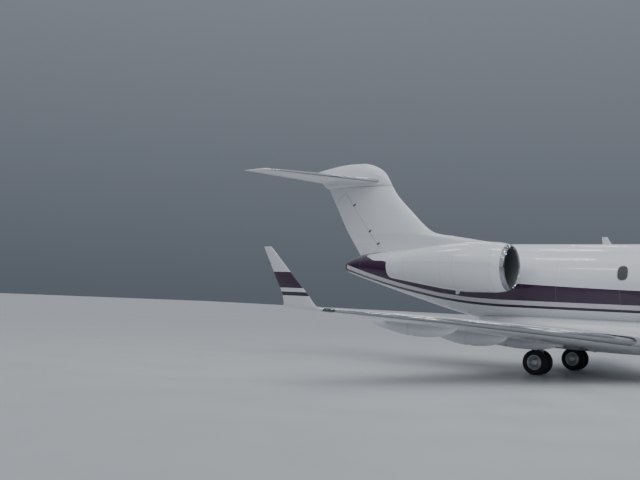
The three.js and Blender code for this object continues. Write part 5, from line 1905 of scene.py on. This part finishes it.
# %% Landing gear
LEG_RODS = [
    # finish, start, end, radius and, where the rod tapers, its radius at the end
    ("enamel", (7.21, 1.55, 0.60), (7.21, 1.55, 1.00), 0.084),
    ("enamel", (7.21, 1.55, 0.585), (7.21, 1.55, 0.625), 0.092),
    ("enamel", (7.21, 1.55, 0.47), (7.21, 1.55, 0.62), 0.060),
    ("enamel", (7.21, 1.494, 0.505), (7.21, 1.606, 0.505), 0.066),
    ("enamel", (7.21, 1.55, 0.505), (7.15, 1.55, 0.3305), 0.050, 0.056),
    ("enamel", (7.15, 1.492, 0.3305), (7.15, 1.608, 0.3305), 0.078),
    ("enamel", (7.21, 1.53, 0.70), (7.21, 1.22, 1.0), 0.024),
    ("enamel", (7.21, 1.515, 0.715), (7.21, 1.545, 0.685), 0.034),
    ("enamel", (7.21, 1.55, 0.740), (7.21, 1.704, 0.740), 0.018),
    ("chrome", (7.035, 1.55, 0.42), (7.02, 1.55, 0.64), 0.026),
    ("enamel", (7.02, 1.55, 0.60), (7.00, 1.55, 0.86), 0.040),
    ("steel", (7.035, 1.515, 0.415), (7.035, 1.585, 0.415), 0.032),
    ("enamel", (7.15, 1.55, 0.345), (7.035, 1.55, 0.415), 0.034, 0.028),
    ("hose", (7.30, 1.60, 0.45), (7.27, 1.62, 0.84), 0.007),
    ("hose", (7.30, 1.60, 0.45), (7.20, 1.60, 0.36), 0.007),
    ("steel", (7.29, 1.58, 0.56), (7.29, 1.58, 0.58), 0.016),
]
NOSE_LEG_RODS = [
    ("enamel", (15.8, 0, 0.9004), (15.8, 0, 1.4796), 0.062),
    ("enamel", (15.8, 0, 0.9004), (15.8, 0, 1.01), 0.082),
    ("enamel", (15.8, 0, 1.01), (15.8, 0, 1.03), 0.082, 0.064),
    ("enamel", (15.8, 0, 1.03), (15.53, 0, 1.44), 0.026),
    ("steel", (15.86, -0.10, 1.05), (15.86, 0.10, 1.05), 0.026),
    ("hose", (15.875, 0.055, 0.93), (15.875, 0.055, 1.38), 0.008),
]
NOSE_STRUT_RODS = [
    ("enamel", (15.8, 0, 0.2236), (15.8, 0, 0.47), 0.050, 0.044),
    ("chrome", (15.8, 0, 0.45), (15.8, 0, 0.815), 0.038),
    ("enamel", (15.8, 0, 0.81), (15.8, 0, 0.899), 0.074),
    ("enamel", (15.8, -0.044, 0.2236), (15.8, 0.044, 0.2236), 0.048),
    ("enamel", (15.84, -0.020, 0.83), (15.97, -0.020, 0.62), 0.012),
    ("enamel", (15.84, 0.020, 0.83), (15.97, 0.020, 0.62), 0.012),
    ("enamel", (15.97, -0.020, 0.62), (15.84, -0.020, 0.42), 0.012),
    ("enamel", (15.97, 0.020, 0.62), (15.84, 0.020, 0.42), 0.012),
    ("steel", (15.97, -0.034, 0.62), (15.97, 0.034, 0.62), 0.018),
    ("enamel", (15.83, -0.030, 0.42), (15.83, 0.030, 0.42), 0.020),
    ("enamel", (15.84, -0.030, 0.83), (15.84, 0.030, 0.83), 0.022),
    ("steel", (15.885, 0, 0.875), (15.93, 0, 0.87), 0.048, 0.052),
]
ROD_ROUNDING = 0.12  # of a rod's ends, as a share of its radius
GEAR_DOOR = ((6.985, 1.700, 0.690), (7.435, 1.711, 0.84))  # two opposite corners
GEAR_DOOR_CORNER = 0.04
ROD_FINISHES = {"enamel": GEAR_PAINT, "steel": STEEL, "chrome": CHROME, "hose": BLACK_RUBBER}


def rod_frame(rods, name):
    """A mesh of rods, each with a small rounded edge at its ends and its own finish."""
    bm = bmesh.new()
    finishes = list(ROD_FINISHES)
    for finish, start, end, *radii in rods:
        before = set(bm.faces)
        add_rod(bm, at(*start), at(*end), *radii)
        ends = [face for face in bm.faces if face not in before and len(face.verts) > 4]
        rims = [edge for face in ends for edge in face.edges]
        rounded(bm, rims, radii[0] * ROD_ROUNDING, 2)
        for face in bm.faces:
            if face not in before:
                face.material_index = finishes.index(finish)
    return piece(bm, name, *ROD_FINISHES.values())


main_leg = carve(rod_frame(LEG_RODS, "main_leg"), ("-", wing_cutter), ("-", fairing_grown))
dress_pair(main_leg, "main_leg_skin", replaced="main_leg")
gear_door = rounded_box(*(at(*corner) for corner in GEAR_DOOR), GEAR_DOOR_CORNER, 1)
dress_pair(gear_door, "main_gear_door", finish=WING_PAINT)
dress(rod_frame(NOSE_LEG_RODS, "nose_leg_skin"), "airframe", "nose_leg")
dress(rod_frame(NOSE_STRUT_RODS, "nose_strut_skin"), "nose_strut", "nose_strut")
print("leg faces", len(main_leg.data.polygons))

# %% [markdown]
# A finished jet carries many small things on its skin. Thin rods on the trailing edges bleed off the
# charge that a wing picks up in dry air. Blade aerials stand on the back and under the belly, probes
# beside the nose feel the air, and a mast under each pod drains it clear of the skin.

# %% Small fittings
WICK_SPOTS = {
    "aileron": (7.9, 8.6, 9.2),
    "elevator": (1.3, 2.0, 2.7),
    "winglet": (5.0, 5.5),
    "rudder": (4.25, 4.62, 4.98),
}
WICK = {"base": 0.03, "length": 0.11, "base_radii": (0.005, 0.0035), "radii": (0.0025, 0.0015)}
AERIALS = [
    # station, root height, tip height, chord, sweep
    (13.2, 3.60, 3.86, 0.30, 0.16),
    (8.6, 3.60, 3.82, 0.26, 0.14),
    (13.7, 1.22, 0.99, 0.26, 0.14),
]
DRAIN_MAST = (5.01, 2.20, 2.06, 0.17, 0.07)
BLADE_THICKNESS = 0.018
HINGE_COVER = {"ahead": 0.15, "sunk": 0.004, "radii": (0.060, 0.016, 0.014)}
BEACONS = [((11.5, 0, 3.612), (0.080, 0.045, 0.055)), ((8.2, 0, 0.675), (0.080, 0.045, 0.045))]
TAIL_LAMP = [((-1.555, 0, 6.02), (0.034, 0.016, 0.018))]


def wicks(points):
    """Thin rods that trail behind points on an edge."""
    bm = bmesh.new()
    for point in points:
        base, length = Vector((WICK["base"], 0, 0)), Vector((WICK["length"], 0, 0))
        add_rod(bm, point + base, point - base, *WICK["base_radii"], 12)
        add_rod(bm, point, point - length, *WICK["radii"], 8)
    return piece(bm, "wicks", BLACK_RUBBER)


def aerial(station, root, tip, chord, sweep, y=0.0):
    def place(z):
        share = (z - root) / (tip - root)
        lead = station - sweep * share
        trail = lead - chord * (1 - 0.45 * share)
        return at(lead, y, z), at(trail, y, z), Vector((0, BLADE_THICKNESS, 0))

    return foil(spread(root, tip, 6), place, PYLON_PAINT)


def domes(finish, places):
    """Smooth bumps, each with its middle and its three half sizes."""
    bm = bmesh.new()
    for centre, radii in places:
        matrix = Matrix.Translation(at(*centre)) @ Matrix.Diagonal((*radii, 1))
        bmesh.ops.create_icosphere(bm, subdivisions=4, radius=1, matrix=matrix)
    return piece(bm, "domes", finish)


def fin_half(station, z):
    lead, trail, thick = row_at(FIN, z)
    return thick * aerofoil_half((lead - station) / (lead - trail))


def trailing(place, surface):
    """Wicks at the trailing edge of a surface, whose form is place."""
    return wicks([place(spot)[1] for spot in WICK_SPOTS[surface]])


aileron_wicks = trailing(wing_place, "aileron")
elevator_wicks = trailing(tailplane_place(), "elevator")
winglet_wicks = trailing(winglet_place, "winglet")
dress_pair(aileron_wicks, "aileron_wicks", "aileron")
dress_pair(elevator_wicks, "elevator_wicks", "elevator")
dress_pair(winglet_wicks, "winglet_wicks")
dress(trailing(fin_place, "rudder"), "rudder", name="rudder_wicks")
for number, row in enumerate(AERIALS, 1):
    dress(aerial(*row), "airframe", name=f"aerial_{number}")
dress_pair(aerial(*DRAIN_MAST, ENGINE_Y), "drain_mast")

covers = []
for z in HINGE_HEIGHTS:
    station = rudder_hinge(z).x + MIDDLE + HINGE_COVER["ahead"]
    covers.append(((station, fin_half(station, z) - HINGE_COVER["sunk"], z), HINGE_COVER["radii"]))
dress_pair(domes(PYLON_PAINT, covers), "rudder_hinge_covers")
dress(domes(RED_GLASS, BEACONS), "airframe", name="red_beacons")
dress(domes(LAMP_GLASS, TAIL_LAMP), "airframe", name="tail_lamp")
print("wicks on", ", ".join(WICK_SPOTS))

# %% [markdown]
# Round the cockpit sit the wipers, which lie along the foot of the windscreen, and the probes. The
# door has a handle in a flush plate, at a height that someone on the ground can reach.

# %% Fittings of the nose
PROBES = [(17.45, 2.30), (17.10, 2.10)]  # station and height
PROBE_REACH = 0.07
WIPER = [(17.56, 0.12), (17.44, 0.22), (17.32, 0.31), (17.20, 0.39), (17.08, 0.46)]  # station and y
WIPER_ARM = (0.016, 0.006)  # height over the glass, and radius
WIPER_BLADE = (0.008, 0.009)
HANDLE = (15.30, 2.43)  # station and height
HANDLE_PARTS = [
    # name, finish, half length, half height, inner and outer face from the skin, corner
    ("door_handle_plate", STEEL, 0.080, 0.035, -0.012, 0.003, 0.014),
    ("door_handle", CHROME, 0.060, 0.012, 0.0, 0.008, 0.010),
]


def over_glass(station, y, clear):
    half, top, widest, bottom = hull_section(station)
    return at(station, y, widest + (top - widest) * math.sqrt(1 - (y / half) ** 2) + clear)


probe_mesh = bmesh.new()
for station, z in PROBES:
    side = hull_half(station, z)
    arm = side + PROBE_REACH
    add_rod(probe_mesh, at(station, side - 0.02, z), at(station + 0.01, arm, z), 0.010, 0.007)
    add_rod(probe_mesh, at(station - 0.02, arm, z), at(station + 0.14, arm, z), 0.008, 0.004)
dress_pair(piece(probe_mesh, "probes", STEEL), "air_probes")

wiper_mesh = bmesh.new()
for points, (clear, radius) in ((WIPER, WIPER_ARM), (WIPER[1:], WIPER_BLADE)):
    for spot, following in zip(points, points[1:]):
        ends = over_glass(*spot, clear), over_glass(*following, clear)
        add_rod(wiper_mesh, *ends, radius, sides=12)
add_rod(wiper_mesh, over_glass(*WIPER[0], -0.01), over_glass(*WIPER[0], 0.024), 0.020, 0.014, 20)
dress_pair(piece(wiper_mesh, "wipers", BLACK_RUBBER), "wiper")

station, z = HANDLE
side = hull_half(station, z)
for name, material, length, tall, inner, outer, corner in HANDLE_PARTS:
    low = at(station - length, side + inner, z - tall)
    part = rounded_box(low, at(station + length, side + outer, z + tall), corner, 1)
    part.data.materials.append(material)
    dress(part, "entry_door", name=name)
print("probes", 2 * len(PROBES))

# %% [markdown]
# The solids that stay are already right in shape. They only need a finish of their own.

# %% Solids that stay
KEPT = {"tail_exhaust": TITANIUM, "nose_door_left": WING_PAINT, "nose_door_right": WING_PAINT}
for node, material in KEPT.items():
    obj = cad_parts[node]
    obj.data.materials.clear()
    obj.data.materials.append(material)
for tool in (hull, hull_grown):
    bpy.data.objects.remove(tool)
print("kept", ", ".join(KEPT))
